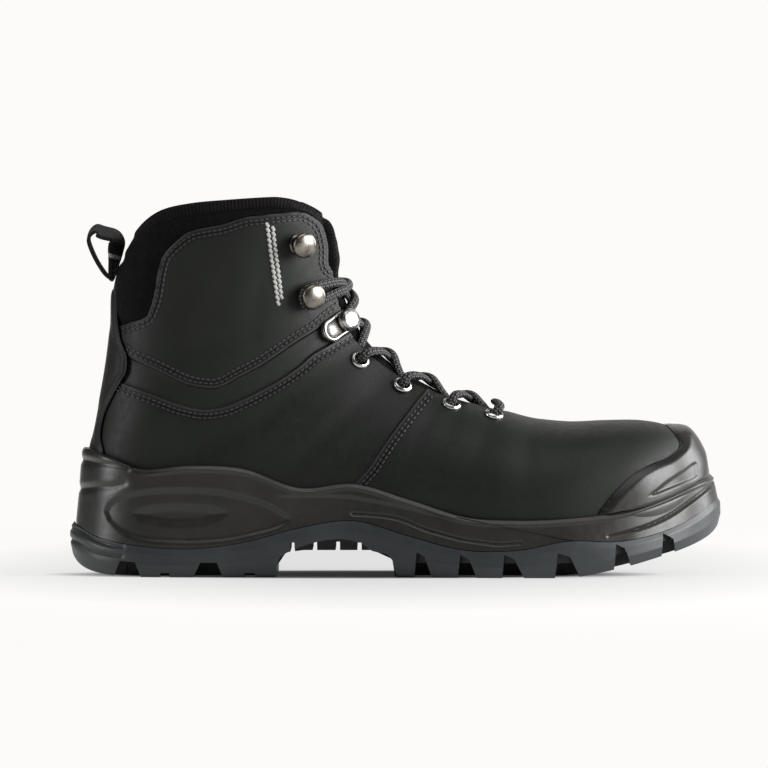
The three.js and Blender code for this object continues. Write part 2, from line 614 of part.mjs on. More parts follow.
function laceRun(rows, steps) {
  const points = rows.map(([station, distance, height]) => skinPoint(station,
    turnAt(station, distance), height));
  const shape = new THREE.Shape(Array.from({ length: laceSides }, (unused, index) => {
    const angle = (index + 0.5) * 2 * Math.PI / laceSides;
    return new THREE.Vector2(Math.cos(angle) * laceRadius, Math.sin(angle) * laceRadius);
  }));
  return solidFrom(new THREE.ExtrudeGeometry(shape, {
    steps, bevelEnabled: false, extrudePath: new THREE.CatmullRomCurve3(points) }));
}

function makeLace() {
  const runs = [];
  const bottom = eyeletRows[eyeletRows.length - 1];
  runs.push(laceRun(crossRows.map(([share, height]) => [bottom[0],
    (2 * share - 1) * bottom[1], height]), 8));
  [-1, 1].forEach((side) => {
    for (let index = eyeletRows.length - 1; index > 0; index -= 1) {
      const [low, high] = [eyeletRows[index], eyeletRows[index - 1]];
      runs.push(laceRun(crossRows.map(([share, height]) => [mix(low[0], high[0], share),
        side * mix(-low[1], high[1], share), height]), 8));
    }
    const [top, hook] = [eyeletRows[0], hookRows[1]];
    const round = hookPost + 2 * gap + laceRadius;
    const [below, above] = [-0.5, 0.5].map((step) => skinPoint(hook[0] + step,
      turnAt(hook[0] + step, side * hook[1]), 0));
    const across = round / below.distanceTo(above);       // the same in stations
    const bend = [-90, -45, 0, 45, 90].map((angle) => THREE.MathUtils.degToRad(angle));
    runs.push(laceRun([
      ...shinRows.map(([rise, reach, height]) => [mix(top[0], hook[0] - across, rise),
        side * mix(-top[1], hook[1], reach), height]),
      ...bend.map((angle) => [hook[0] + across * Math.sin(angle),
        side * (hook[1] + round * Math.cos(angle)), overPlate]),
      [hook[0] + across, side * hook[1] * 0.5, overEdge],
      [hook[0] + across, 0, 1.6],
    ], 17));
  });
  const hooks = [-1, 1].map((side) => makeHook(hookRows[1], side, gap));
  return runs.reduce((whole, run) => whole.add(run)).subtract(hooks[0]).subtract(hooks[1]);
}

// Finishes
const finish = (colour, roughness, metalness = 0) => new THREE.MeshStandardMaterial({
  color: colour, roughness, metalness });
const finishes = {
  leather: finish(0x2b2d2a, 0.55),
  midsole: finish(0x2f2b29, 0.5),
  rubber: finish(0x2a2f32, 0.6),
  textile: finish(0x1b1b1b, 0.9),
  metal: finish(0x8d8780, 0.35, 0.9),
};

const boot = new THREE.Group();

function place(name, body, material) {
  const raw = body.getMesh();
  const geometry = new THREE.BufferGeometry();
  geometry.setAttribute('position', new THREE.Float32BufferAttribute(raw.vertProperties, 3));
  geometry.setIndex(Array.from(raw.triVerts));
  const piece = new THREE.Mesh(geometry, material);
  piece.name = name;
  boot.add(piece);
  return piece;
}

place('outsole', makeOutsole(), finishes.rubber);
place('midsole', makeMidsole(), finishes.midsole);
place('upper', makeUpper(), finishes.leather);
place('collar', makeCollar(), finishes.textile);
place('tongue', makeTongue(), finishes.textile);
place('insole', makeInsole(), finishes.textile);
place('toe_guard', makeGuard(), finishes.midsole);
place('backstay', makeBackstay(), finishes.leather);
place('pull_loop', makePullLoop(), finishes.textile);
const sides = [['lateral', -1], ['medial', 1]];
sides.forEach(([sideName, side]) => {
  eyeletRows.forEach((row, index) => {
    place(`eyelet_${sideName}_${index + 1}`, makeEyelet(row, side), finishes.metal);
  });
  hookRows.forEach((row, index) => {
    place(`hook_${sideName}_${index + 1}`, makeHook(row, side), finishes.metal);
  });
  place(`lock_base_${sideName}`, makeLockBase(side), finishes.metal);
  place(`lock_cam_${sideName}`, makeLockCam(side), finishes.metal);
});
place('lace', makeLace(), finishes.textile);

// The origin is under the middle of the sole's plan.
const footprint = new THREE.Box3().setFromObject(boot);
boot.position.y = -(footprint.min.y + footprint.max.y) / 2;

export default boot;
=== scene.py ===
# Looks of a right lace-up safety work boot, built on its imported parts. Worked out in millimetres and
# written in metres: +X to the toe, -Y the lateral side, +Z up.
import math

import bpy
import numpy as np
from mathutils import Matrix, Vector
from mathutils.bvhtree import BVHTree


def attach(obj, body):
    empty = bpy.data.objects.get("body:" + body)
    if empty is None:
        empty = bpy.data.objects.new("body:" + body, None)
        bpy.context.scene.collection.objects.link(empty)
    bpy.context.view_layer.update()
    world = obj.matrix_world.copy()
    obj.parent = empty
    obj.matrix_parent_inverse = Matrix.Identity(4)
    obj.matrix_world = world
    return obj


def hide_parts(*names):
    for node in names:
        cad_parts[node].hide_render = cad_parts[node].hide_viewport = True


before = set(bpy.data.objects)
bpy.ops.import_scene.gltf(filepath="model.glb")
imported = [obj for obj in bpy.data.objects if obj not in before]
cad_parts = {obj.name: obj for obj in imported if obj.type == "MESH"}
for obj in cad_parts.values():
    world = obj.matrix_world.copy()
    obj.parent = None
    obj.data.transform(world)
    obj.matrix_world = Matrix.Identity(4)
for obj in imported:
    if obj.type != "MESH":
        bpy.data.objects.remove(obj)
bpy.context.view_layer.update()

# Driving sizes, as in the part's source
boot = {
    "length": 312,
    "ballWidth": 112,
    "height": 181,
    "instepHeight": 100.5,
    "heelHeight": 31,
    "leatherWall": 2.2,
    "collarPad": 6,
    "collarPuff": 1,
    "tongueThickness": 4,
    "insoleThickness": 4,
    "overlay": 1.6,
    "guard": 3,
    "gap": 0.3,
    "treadDepth": 7,
    "recessDepth": 1.0,
    "throatReach": 14,
    "throatDepth": 10,
}

# Sections of the leather's outer skin from the toe tip to the top of the shaft: lowX, lowLevel, topX,
# topLevel, lateral, medial, middle, widest, lowPower, topPower
skinRows = np.array([
    [0.973, 1.02, 0.973, 0.490, 0.054, 0.054, 0.076, 0.50, 2.0, 2.0],
    [0.966, 0.84, 0.966, 0.588, 0.170, 0.152, 0.071, 0.45, 2.6, 2.2],
    [0.947, 0.68, 0.947, 0.662, 0.277, 0.250, 0.067, 0.40, 3.2, 2.3],
    [0.917, 0.60, 0.917, 0.711, 0.362, 0.330, 0.058, 0.38, 3.8, 2.4],
    [0.875, 0.55, 0.875, 0.735, 0.429, 0.388, 0.049, 0.36, 4.2, 2.5],
    [0.821, 0.52, 0.821, 0.735, 0.469, 0.429, 0.040, 0.35, 4.2, 2.5],
    [0.763, 0.52, 0.763, 0.730, 0.487, 0.438, 0.027, 0.33, 4.2, 2.3],
    [0.699, 0.52, 0.699, 0.755, 0.482, 0.420, 0.018, 0.30, 4.0, 2.1],
    [0.635, 0.54, 0.636, 0.814, 0.451, 0.384, 0.009, 0.28, 4.0, 1.95],
    [0.564, 0.58, 0.590, 0.858, 0.406, 0.344, 0.004, 0.28, 4.0, 1.9],
    [0.474, 0.65, 0.545, 0.926, 0.366, 0.299, 0.000, 0.29, 4.0, 1.9],
    [0.365, 0.73, 0.505, 1.000, 0.344, 0.295, 0.000, 0.31, 4.0, 1.9],
    [0.250, 0.81, 0.473, 1.099, 0.339, 0.308, 0.000, 0.33, 4.0, 2.0],
    [0.141, 0.87, 0.454, 1.185, 0.339, 0.321, 0.000, 0.36, 3.8, 2.0],
    [0.058, 1.01, 0.441, 1.272, 0.330, 0.321, 0.000, 0.40, 2.7, 2.1],
    [0.034, 1.14, 0.431, 1.358, 0.326, 0.321, 0.000, 0.42, 2.3, 2.2],
    [0.0455, 1.29, 0.423, 1.444, 0.326, 0.326, 0.000, 0.43, 2.2, 2.2],
    [0.0585, 1.44, 0.417, 1.531, 0.330, 0.330, 0.000, 0.44, 2.2, 2.3],
    [0.0665, 1.57, 0.414, 1.617, 0.339, 0.339, 0.000, 0.45, 2.2, 2.3],
    [0.070, 1.70, 0.410, 1.704, 0.353, 0.353, 0.000, 0.45, 2.2, 2.3],
    [0.084, 1.82, 0.407, 1.802, 0.366, 0.366, 0.000, 0.45, 2.2, 2.3],
    [0.096, 1.93, 0.404, 1.914, 0.375, 0.375, 0.000, 0.45, 2.2, 2.3],
    [0.101, 2.05, 0.401, 2.070, 0.379, 0.379, 0.000, 0.45, 2.2, 2.3],
])

# The sole from the heel's back to the toe tip: along, lateral, medial, tread, line, edge, bed, tuck
soleRows = np.array([
    [0.000, 0.000, 0.000, 0.390, 0.83, 1.97, 1.00, 6.0],
    [0.014, 0.154, 0.154, 0.160, 0.71, 1.95, 1.00, 5.5],
    [0.051, 0.284, 0.282, 0.040, 0.57, 1.84, 1.00, 4.0],
    [0.109, 0.366, 0.359, 0.000, 0.47, 1.65, 1.00, 2.8],
    [0.186, 0.396, 0.388, 0.000, 0.43, 1.71, 1.00, 2.4],
    [0.269, 0.395, 0.380, 0.000, 0.53, 1.66, 0.96, 2.4],
    [0.353, 0.386, 0.366, 0.000, 0.75, 1.37, 0.90, 2.4],
    [0.436, 0.389, 0.359, 0.000, 0.86, 1.43, 1.00, 2.4],
    [0.519, 0.420, 0.374, 0.000, 0.63, 1.19, 0.86, 2.4],
    [0.603, 0.474, 0.419, 0.000, 0.42, 0.93, 0.76, 2.2],
    [0.686, 0.508, 0.476, 0.000, 0.42, 0.88, 0.73, 2.2],
    [0.763, 0.505, 0.504, 0.000, 0.56, 0.91, 0.74, 2.2],
    [0.840, 0.462, 0.494, 0.139, 0.55, 1.00, 0.78, 2.4],
    [0.904, 0.384, 0.450, 0.310, 0.68, 1.19, 0.86, 3.0],
    [0.955, 0.268, 0.357, 0.475, 0.89, 1.39, 1.02, 3.6],
    [0.987, 0.116, 0.241, 0.635, 1.10, 1.50, 1.20, 4.0],
    [1.000, -0.071, 0.071, 0.81, 1.20, 1.55, 1.26, 4.2],
])
sole = {"along": 0, "lateral": 1, "medial": 2, "tread": 3, "line": 4, "edge": 5, "bed": 6, "tuck": 7}
soleLast = len(soleRows) - 1


# Heights and smooth curves
def mix(low, high, share):
    return low + (high - low) * share


def ramp(value, start, end):
    share = np.clip((value - start) / (end - start), 0, 1)
    return share * share * (3 - 2 * share)


def alongX(share):
    return (np.asarray(share) - 0.5) * boot["length"]


def levelHeight(level, first):
    return np.where(level < 1, level * first, mix(first, boot["height"], level - 1))


def curveBetween(before, start, end, after, share):
    return 0.5 * (2 * start + (end - before) * share
                  + (2 * before - 5 * start + 4 * end - after) * share ** 2
                  + (3 * start - before - 3 * end + after) * share ** 3)


def curveThrough(rows, place):
    last = len(rows) - 1
    padded = np.vstack([2 * rows[:1] - rows[1:2], rows, 2 * rows[-1:] - rows[-2:-1]])
    row = np.clip(np.floor(place).astype(int), 0, last - 1)
    share = (place - row)[..., None]
    return curveBetween(*(padded[row + step] for step in range(4)), share)


# Length travelled along a line at each of its points
def lengthAlong(line):
    return np.concatenate([[0], np.linalg.norm(np.diff(line, axis=0), axis=1).cumsum()])


# The skin: station counts the sections from the toe, turn goes round one from its low end by the
# lateral side to its high end (0.5) and back by the medial side.
def barePoint(station, turn):
    station, turn = np.broadcast_arrays(np.asarray(station, float), np.asarray(turn, float))
    columns = np.moveaxis(curveThrough(skinRows, station), -1, 0)
    lowX, lowLevel, topX, topLevel, lateral, medial, middle, widest, lowPower, topPower = columns
    around = turn - np.floor(turn)
    onLateral = around < 0.5
    angle = np.where(onLateral, around, 1 - around) * 2 * np.pi
    isLow = angle < np.pi / 2
    power = np.where(isLow, lowPower, topPower)
    reach = np.abs(np.cos(angle)) ** (2 / power)
    bulge = np.maximum(np.sin(angle), 0) ** (2 / power)
    share = np.where(isLow, widest * (1 - reach), widest + (1 - widest) * reach)
    width = np.where(onLateral, -lateral, medial) * bulge + middle
    return np.stack([
        mix(alongX(lowX), alongX(topX), share),
        width * boot["ballWidth"],
        mix(levelHeight(lowLevel, boot["heelHeight"]), levelHeight(topLevel, boot["instepHeight"]), share),
    ], axis=-1)


def unit(vectors):
    return vectors / np.maximum(np.linalg.norm(vectors, axis=-1, keepdims=True), 1e-9)


def skinNormal(station, turn):
    station, turn = np.asarray(station, float), np.asarray(turn, float)
    ahead = barePoint(station + 0.15, turn) - barePoint(station - 0.15, turn)
    around = barePoint(station, turn + 0.012) - barePoint(station, turn - 0.012)
    return unit(np.cross(around, ahead))


def skinPoint(station, turn, offset):
    return barePoint(station, turn) + skinNormal(station, turn) * np.asarray(offset)[..., None]


# The turn that lies a distance round the section from its high end, medial when positive
def turnAt(station, distance):
    station, distance = np.broadcast_arrays(np.atleast_1d(station), np.atleast_1d(distance))
    steps = np.arange(230) * 0.002
    side = np.where(distance < 0, -1.0, 1.0)
    points = barePoint(station[:, None], 0.5 + side[:, None] * steps)
    lengths = np.linalg.norm(np.diff(points, axis=1), axis=2).cumsum(axis=1)
    lengths = np.hstack([np.zeros((len(station), 1)), lengths])
    found = [np.interp(abs(far), length, steps) for far, length in zip(distance, lengths)]
    return 0.5 + side * np.array(found)


def skinAt(station, distance, offset=0.0):
    station, distance = np.broadcast_arrays(np.atleast_1d(station), np.atleast_1d(distance))
    return skinPoint(station, turnAt(station, distance), np.broadcast_to(offset, station.shape))


# Stations and turns of a fine grid whose cells are about as long as they are wide
def skinGrid(cell, first=0, last=22):
    fine = np.linspace(first, last, (last - first) * 40 + 1)
    probes = barePoint(fine[:, None], np.array([0.06, 0.15, 0.25, 0.35, 0.5, 0.65, 0.75, 0.85, 0.94]))
    step = np.linalg.norm(np.diff(probes, axis=0), axis=2).max(axis=1)
    travelled = np.concatenate([[0], step.cumsum()])
    stations = np.interp(np.linspace(0, travelled[-1], int(travelled[-1] / cell) + 1), travelled, fine)
    dense = np.linspace(0, 0.5, 700)
    halfCount = int(150 / cell)
    turns = []
    for side in (0, 1):
        points = barePoint(stations[:, None], np.abs(side - dense))
        length = np.linalg.norm(np.diff(points, axis=1), axis=2).cumsum(axis=1)
        length = np.hstack([np.zeros((len(stations), 1)), length])
        shares = np.linspace(0, 1, halfCount + 1)
        half = np.array([np.interp(shares * row[-1], row, dense) for row in length])
        turns.append(np.abs(side - half))
    ring = np.hstack([turns[0], turns[1][:, -2:0:-1]])
    return np.repeat(stations[:, None], ring.shape[1], axis=1), ring


# The sole's plan: place counts the rows from the heel along the lateral side to the toe and back.
def planPoint(place):
    count = soleLast * 2
    first = np.floor(place).astype(int)
    corners = []
    for step in (-1, 0, 1, 2):
        wrapped = (first + step) % count
        onLateral = wrapped <= soleLast
        row = soleRows[np.where(onLateral, wrapped, count - wrapped)]
        corners.append(np.stack([row[..., 0], np.where(onLateral, -row[..., 1], row[..., 2])], -1))
    point = curveBetween(*corners, (place - first)[..., None])
    return np.stack([alongX(point[..., 0]), point[..., 1] * boot["ballWidth"]], -1)


def soleRow(place):
    return curveThrough(soleRows, np.where(place <= soleLast, place, soleLast * 2 - place))


def soleInward(place):
    tangent = unit(planPoint(place + 0.05) - planPoint(place - 0.05))
    return np.stack([-tangent[..., 1], tangent[..., 0]], -1)


# Places round the sole, evenly spaced along its edge; half of them on each side
def solePlaces(count):
    fine = np.linspace(0, soleLast, 2001)
    places = []
    for side in (0, 1):
        line = planPoint(fine if side == 0 else soleLast * 2 - fine)
        length = lengthAlong(line)
        half = np.interp(np.linspace(0, length[-1], count // 2 + 1), length, fine)
        places.append(half if side == 0 else soleLast * 2 - half)
    return np.concatenate([places[0], places[1][-2:0:-1]])


outermost = planPoint(np.arange(soleLast * 3) / (soleLast * 3) * soleLast * 2)[:, 1]
sideShift = -(outermost.min() + outermost.max()) / 2


# Lines in side view
def sideOutline(rows):
    rows = np.asarray(rows, float)
    return np.stack([alongX(rows[:, 0]), rows[:, 1] * boot["height"]], axis=1)


def smoothLine(points, steps=8):
    points = np.asarray(points, float)
    return curveThrough(points, np.linspace(0, len(points) - 1, (len(points) - 1) * steps + 1))


# Distance from a line in side view, positive to the left of its direction
def lineDistance(line, x, z):
    x, z = np.asarray(x, float), np.asarray(z, float)
    best = np.full(x.shape, 1e9)
    sign = np.ones(x.shape)
    for (startX, startZ), (endX, endZ) in zip(line[:-1], line[1:]):
        runX, runZ = endX - startX, endZ - startZ
        size = runX * runX + runZ * runZ
        if size < 1e-9:
            continue
        share = np.clip(((x - startX) * runX + (z - startZ) * runZ) / size, 0, 1)
        awayX, awayZ = x - startX - share * runX, z - startZ - share * runZ
        far = awayX * awayX + awayZ * awayZ
        nearer = far < best
        best = np.where(nearer, far, best)
        sign = np.where(nearer, np.sign(runX * awayZ - runZ * awayX), sign)
    return np.sqrt(best) * sign


def insideOutline(outline, x, z):
    inside = np.zeros(np.shape(x), bool)
    for (startX, startZ), (endX, endZ) in zip(outline, np.roll(outline, -1, axis=0)):
        crosses = (startZ > z) != (endZ > z)
        at = startX + (z - startZ) / (endZ - startZ if endZ != startZ else 1e-9) * (endX - startX)
        inside ^= crosses & (x < at)
    return inside


# Depth inside a closed outline in side view, negative outside it
def outlineDepth(outline, x, z):
    closed = np.vstack([outline, outline[:1]])
    return np.abs(lineDistance(closed, x, z)) * np.where(insideOutline(outline, x, z), 1, -1)


# Meshes
def meshObject(name, points, faces):
    mesh = bpy.data.meshes.new(name)
    shown = np.array(points, float)
    shown[:, 1] += sideShift
    mesh.from_pydata((shown * 0.001).tolist(), [], faces)
    mesh.validate()
    piece = bpy.data.objects.new(name, mesh)
    bpy.context.scene.collection.objects.link(piece)
    return piece


# Rings of as many points each, closed by joining each point of the end rings to its partner
def loft(name, rings, partner="pole"):
    rings = np.asarray(rings, float)
    ringCount, count = rings.shape[:2]
    points = rings.reshape(-1, 3)
    index = np.arange(ringCount * count).reshape(ringCount, count)
    low, high = index[:-1], index[1:]
    sides = np.stack([low, np.roll(low, -1, axis=1), np.roll(high, -1, axis=1), high], -1).reshape(-1, 4)
    faces = sides.tolist()

    def other(point):
        return (count - point) % count if partner == "pole" else count - 1 - point

    for start, turned in ((0, False), ((ringCount - 1) * count, True)):
        for point in range((count + 1) // 2):
            quad = [point, other(point), other(point + 1), point + 1]
            kept = [corner for place, corner in enumerate(quad) if corner not in quad[:place]]
            if len(kept) > 2:
                placed = [start + corner for corner in kept]
                faces.append(placed[::-1] if turned else placed)
    centred = points - points.mean(axis=0)
    volume = sum(np.einsum("ij,ij->i", centred[sides[:, 0]],
                           np.cross(centred[sides[:, i]], centred[sides[:, i + 1]])).sum() for i in (1, 2))
    if volume < 0:
        faces = [face[::-1] for face in faces]
    return meshObject(name, points, faces)


# Faces of rings that close on themselves
def ringFaces(total, count):
    return [[ring * count + corner, ring * count + (corner + 1) % count,
             (ring + 1) % total * count + (corner + 1) % count, (ring + 1) % total * count + corner]
            for ring in range(total) for corner in range(count)]


# Faces of a tube with two ends, whose points are counted from base
def tubeFaces(base, total, count):
    faces = [[base + corner for corner in face] for face in ringFaces(total, count)[:-count]]
    faces.append([base + corner for corner in range(count)][::-1])
    faces.append([base + (total - 1) * count + corner for corner in range(count)])
    return faces


def sidePrism(name, outline, near=-150.0, far=150.0):
    outline = np.asarray(outline, float)
    count = len(outline)
    points = [(x, y, z) for y in (near, far) for x, z in outline]
    faces = [[i, (i + 1) % count, (i + 1) % count + count, i + count] for i in range(count)]
    faces += [list(range(count - 1, -1, -1)), list(range(count, 2 * count))]
    area = np.sum(outline[:, 0] * np.roll(outline[:, 1], -1) - np.roll(outline[:, 0], -1) * outline[:, 1])
    if area > 0:
        faces = [face[::-1] for face in faces]
    return meshObject(name, points, faces)


# One mesh cut by others, or joined with them
def combine(piece, tools, operation="DIFFERENCE"):
    for tool in tools:
        modifier = piece.modifiers.new(tool.name, "BOOLEAN")
        modifier.operation = operation
        modifier.solver = "MANIFOLD"
        modifier.object = tool
    graph = bpy.context.evaluated_depsgraph_get()
    made = bpy.data.meshes.new_from_object(piece.evaluated_get(graph))
    piece.modifiers.clear()
    old = piece.data
    piece.data = made
    bpy.data.meshes.remove(old)
    made.name = piece.name
    return piece


def discard(*pieces):
    for piece in pieces:
        mesh = piece.data
        bpy.data.objects.remove(piece)
        bpy.data.meshes.remove(mesh)


def ownPoints(piece):
    flat = np.empty(len(piece.data.vertices) * 3)
    piece.data.vertices.foreach_get("co", flat)
    points = flat.reshape(-1, 3) * 1000
    points[:, 1] -= sideShift
    return points


def setValues(piece, name, values):
    attribute = piece.data.attributes.new(name, "FLOAT", "POINT")
    attribute.data.foreach_set("value", np.asarray(values, np.float32))


def smoothShade(piece, degrees=40):
    piece.data.polygons.foreach_set("use_smooth", [True] * len(piece.data.polygons))
    piece.data.set_sharp_from_angle(angle=math.radians(degrees))


def settle(piece, replaced=(), material=None, degrees=40):
    smoothShade(piece, degrees)
    if material is not None:
        piece.data.materials.clear()
        piece.data.materials.append(material)
    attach(piece, "root")
    if replaced:
        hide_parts(*replaced)
    triangles = sum(len(face.vertices) - 2 for face in piece.data.polygons)
    print(f"{piece.name}: {triangles} triangles")
    return piece


# The camera: how high it looks from, how far away, how wide its picture is at the boot
look = {"tilt": 0.8, "distance": 4500.0, "width": 367.9, "aim": (-5.5, 0.0, 91.2)}


# A line as it is seen from the lateral side, moved to where it lies on a surface nearer the camera
def seenLine(rows, depth, steps=8):
    seen = sideOutline(rows)
    tilt = math.radians(look["tilt"])
    nearer = 1 - depth / look["distance"]
    aimX, aimZ = look["aim"][0], look["aim"][2]
    x = aimX + (seen[:, 0] - aimX) * nearer
    z = aimZ + ((seen[:, 1] - aimZ) * nearer + depth * math.sin(tilt)) / math.cos(tilt)
    points = np.stack([x, z], axis=1)
    return smoothLine(points, steps) if steps else points


# Edges and seams of the leather
leather = {
    "cell": 1.12,
    "step": 0.9,               # height of a panel over its neighbour
    "roll": 1.3,               # radius of the folded top edge
    "sideDepth": 41,           # how far its sides stand from the boot's middle
}
leatherTop = sideOutline([
    [-0.05, 0.627], [0.07, 0.657], [0.094, 0.669], [0.117, 0.682], [0.125, 0.708], [0.131, 0.743],
    [0.136, 0.794], [0.142, 0.834], [0.152, 0.860], [0.168, 0.886], [0.186, 0.907], [0.209, 0.917],
    [0.235, 0.925], [0.27, 0.944], [0.293, 0.949], [0.316, 0.954], [0.355, 0.959], [0.374, 0.947],
    [0.389, 0.920], [0.397, 0.870], [0.402, 0.809], [0.45, 0.799]])
topLine = smoothLine(leatherTop, 6)
collarTop = sideOutline([
    [-0.05, 0.80], [0.065, 0.82], [0.083, 0.86], [0.098, 0.90], [0.12, 0.94], [0.148, 0.967],
    [0.19, 0.982], [0.24, 0.99], [0.30, 0.997], [0.325, 0.997], [0.350, 0.988], [0.374, 0.968],
    [0.390, 0.943], [0.402, 0.91], [0.411, 0.86], [0.45, 0.80]])
cuffLine = smoothLine(collarTop, 6)
seamUpper = seenLine([
    [0.080, 0.588], [0.092, 0.572], [0.115, 0.554], [0.138, 0.536], [0.177, 0.504], [0.208, 0.493],
    [0.231, 0.496], [0.261, 0.523], [0.292, 0.551], [0.323, 0.586], [0.353, 0.621], [0.378, 0.647],
    [0.399, 0.678], [0.440, 0.728]], leather["sideDepth"])
seamLower = seenLine([
    [0.065, 0.512], [0.080, 0.504], [0.115, 0.482], [0.146, 0.461], [0.177, 0.443], [0.208, 0.435],
    [0.238, 0.443], [0.261, 0.459], [0.292, 0.485], [0.323, 0.515], [0.353, 0.551], [0.373, 0.581],
    [0.399, 0.607], [0.430, 0.639], [0.460, 0.667]], leather["sideDepth"])
vampSeam = seenLine([
    [0.580, 0.551], [0.568, 0.525], [0.556, 0.501], [0.535, 0.461], [0.515, 0.417], [0.496, 0.374],
    [0.476, 0.324], [0.461, 0.284], [0.441, 0.245], [0.422, 0.197]], leather["sideDepth"])
whiteSeams = [
    seenLine([[0.3025, 0.932], [0.3055, 0.893], [0.3085, 0.85], [0.3135, 0.79], [0.3205, 0.706]],
             leather["sideDepth"]),
    seenLine([[0.3115, 0.922], [0.3130, 0.893], [0.3160, 0.85], [0.3205, 0.79], [0.3255, 0.717]],
             leather["sideDepth"])]
bindingLine = seenLine([
    [0.04, 0.728], [0.071, 0.793], [0.089, 0.858], [0.108, 0.885], [0.123, 0.911], [0.135, 0.932],
    [0.151, 0.940], [0.200, 0.956], [0.261, 0.967], [0.307, 0.973], [0.353, 0.962], [0.376, 0.945],
    [0.387, 0.932], [0.396, 0.911], [0.401, 0.885], [0.404, 0.845], [0.407, 0.806], [0.410, 0.708]],
    leather["sideDepth"])

# Soft hollows and ridges of worn-in leather, in side view: along and rise in shares of the boot,
# lean in degrees, half length and half width in millimetres, depth below the skin (a ridge is negative)
creaseRows = [
    [0.545, 0.400, 62, 17, 4.5, 0.55],
    [0.590, 0.350, 66, 19, 5.0, -0.40],
    [0.625, 0.330, 70, 20, 4.5, 0.60],
    [0.665, 0.320, 76, 19, 5.0, -0.40],
    [0.700, 0.315, 82, 17, 4.5, 0.45],
    [0.300, 0.420, 24, 30, 6.0, 0.70],
    [0.360, 0.455, 34, 24, 5.0, -0.40],
    [0.410, 0.400, 40, 26, 5.5, 0.60],
    [0.200, 0.330, 8, 30, 7.0, 0.50],
    [0.240, 0.620, 12, 26, 6.0, 0.50],
    [0.190, 0.700, 58, 18, 6.0, -0.40],
    [0.290, 0.740, 80, 22, 5.0, 0.40],
]


def creaseDepth(x, z):
    depth = np.zeros(np.shape(x))
    for along, rise, lean, halfLength, halfWidth, low in creaseRows:
        awayX, awayZ = x - alongX(along), z - rise * boot["height"]
        turn = math.radians(lean)
        run = awayX * math.cos(turn) + awayZ * math.sin(turn)
        across = awayZ * math.cos(turn) - awayX * math.sin(turn) + 0.012 * run * run / halfWidth
        depth += low * np.exp(-(run / halfLength) ** 2 - (across / halfWidth) ** 2)
    return depth


# How far the leather's face lies from the plain skin
def leatherRelief(x, z):
    aboveUpper = lineDistance(seamUpper, x, z)
    belowLower = -lineDistance(seamLower, x, z)
    ahead = lineDistance(vampSeam, x, z)
    belowTop = -lineDistance(topLine, x, z)
    inBand = ramp(-aboveUpper, -0.3, 0.8) * ramp(-belowLower, -0.3, 0.8)
    behind = ramp(-ahead, -0.3, 0.8) * np.exp(-np.maximum(-ahead, 0) / 26)
    relief = -leather["step"] * inBand - leather["step"] * behind
    for distance in (aboveUpper, belowLower, ahead):
        relief -= 0.28 * np.exp(-((distance - 2.5) / 1.5) ** 2)
    relief -= 0.25 * np.exp(-((belowTop - 2.6) / 1.6) ** 2)
    roll = leather["roll"]
    lip = np.clip(1 - belowTop / roll, 0, 1)
    relief -= roll * (1 - np.sqrt(1 - lip * lip))
    return relief - creaseDepth(x, z)


def throatBody(name, grow):
    rows = np.array([
        [7.35, 1.5], [7.55, 6.5], [7.9, 9.5], [9, 11.5], [11, 13.5], [13, 15], [15, 15.5], [17, 15.5],
        [19, 15.5], [21, 15.5], [22, 15.5]])
    line = smoothLine(rows, 5)
    across = np.linspace(-1, 1, 13)
    rings = []
    for station, half in line:
        turns = turnAt(np.full(len(across), station), across * (half + grow))
        outer = skinPoint(station, turns, np.full(len(across), boot["throatReach"]))
        inner = skinPoint(station, turns, np.full(len(across), -boot["throatDepth"]))
        rings.append(np.vstack([outer, inner[::-1]]))
    return loft(name, rings, "band")


# Everything below a line of the sole's table
def belowLine(name, column, lift):
    rows = curveThrough(soleRows, np.linspace(0, soleLast, soleLast * 6 + 1))
    line = np.stack([alongX(rows[:, 0]), rows[:, sole[column]] * boot["heelHeight"] + lift], 1)
    reach = boot["length"]
    outline = np.vstack([[[-reach, -reach], [reach, -reach], [reach, line[-1, 1]]], line[::-1],
                         [[-reach, line[0, 1]]]])
    return sidePrism(name, outline)


def aboveLine(name, line, lift=0.0):
    top = boot["height"] * 1.4
    outline = np.vstack([line + [0, lift], [[line[-1, 0], top], [line[0, 0], top]]])
    return sidePrism(name, outline)


print("cutting forms")
belowBed = belowLine("below_bed", "bed", boot["gap"])
aboveLeather = aboveLine("above_leather", topLine)
aboveCuff = aboveLine("above_cuff", cuffLine)
throatCut = throatBody("throat_cut", 0.0)
throatWide = throatBody("throat_wide", 1.0)

hardware = {
    "eyeletRadius": 4.7, "eyeletBore": 2.8, "eyeletHeight": 1.1, "hookRadius": 6.2, "hookPost": 2.6,
    "hookHeight": 8.6, "lockLength": 21, "lockWidth": 11, "plate": 1.4, "camRadius": 5.4,
    "camThickness": 4.4, "lift": 0.55,
}
eyeletRows = [[12.25, 22.0], [10.6, 19.4], [9.05, 19.0], [7.75, 20.0]]
hookRows = [[19.5, 38.7], [16.7, 34.8]]
lockRow = [14.35, 21.5]


# Where a fitting stands on the leather: its middle, and its directions across, along and outwards
def fittingFrame(row, side, lift):
    station, distance = row
    turn = turnAt(station, side * distance)
    normal = skinNormal(np.array([station]), turn)[0]
    middle = skinPoint(np.array([station]), turn, np.array([0.0]))[0]
    beside = skinAt(station, side * (distance + 1))[0]
    away = unit(beside - middle)
    across = unit(np.cross(normal, away))
    return middle + normal * lift, np.cross(across, normal), across, normal


def placed(points, place):
    middle, away, across, normal = place
    points = np.asarray(points, float)
    return middle + points[..., :1] * away + points[..., 1:2] * across + points[..., 2:] * normal


def discRings(profile, sides=40):
    turn = np.arange(sides) / sides * 2 * np.pi
    return np.array([np.stack([radius * np.cos(turn), radius * np.sin(turn), np.full(sides, height)], 1)
                     for radius, height in profile])


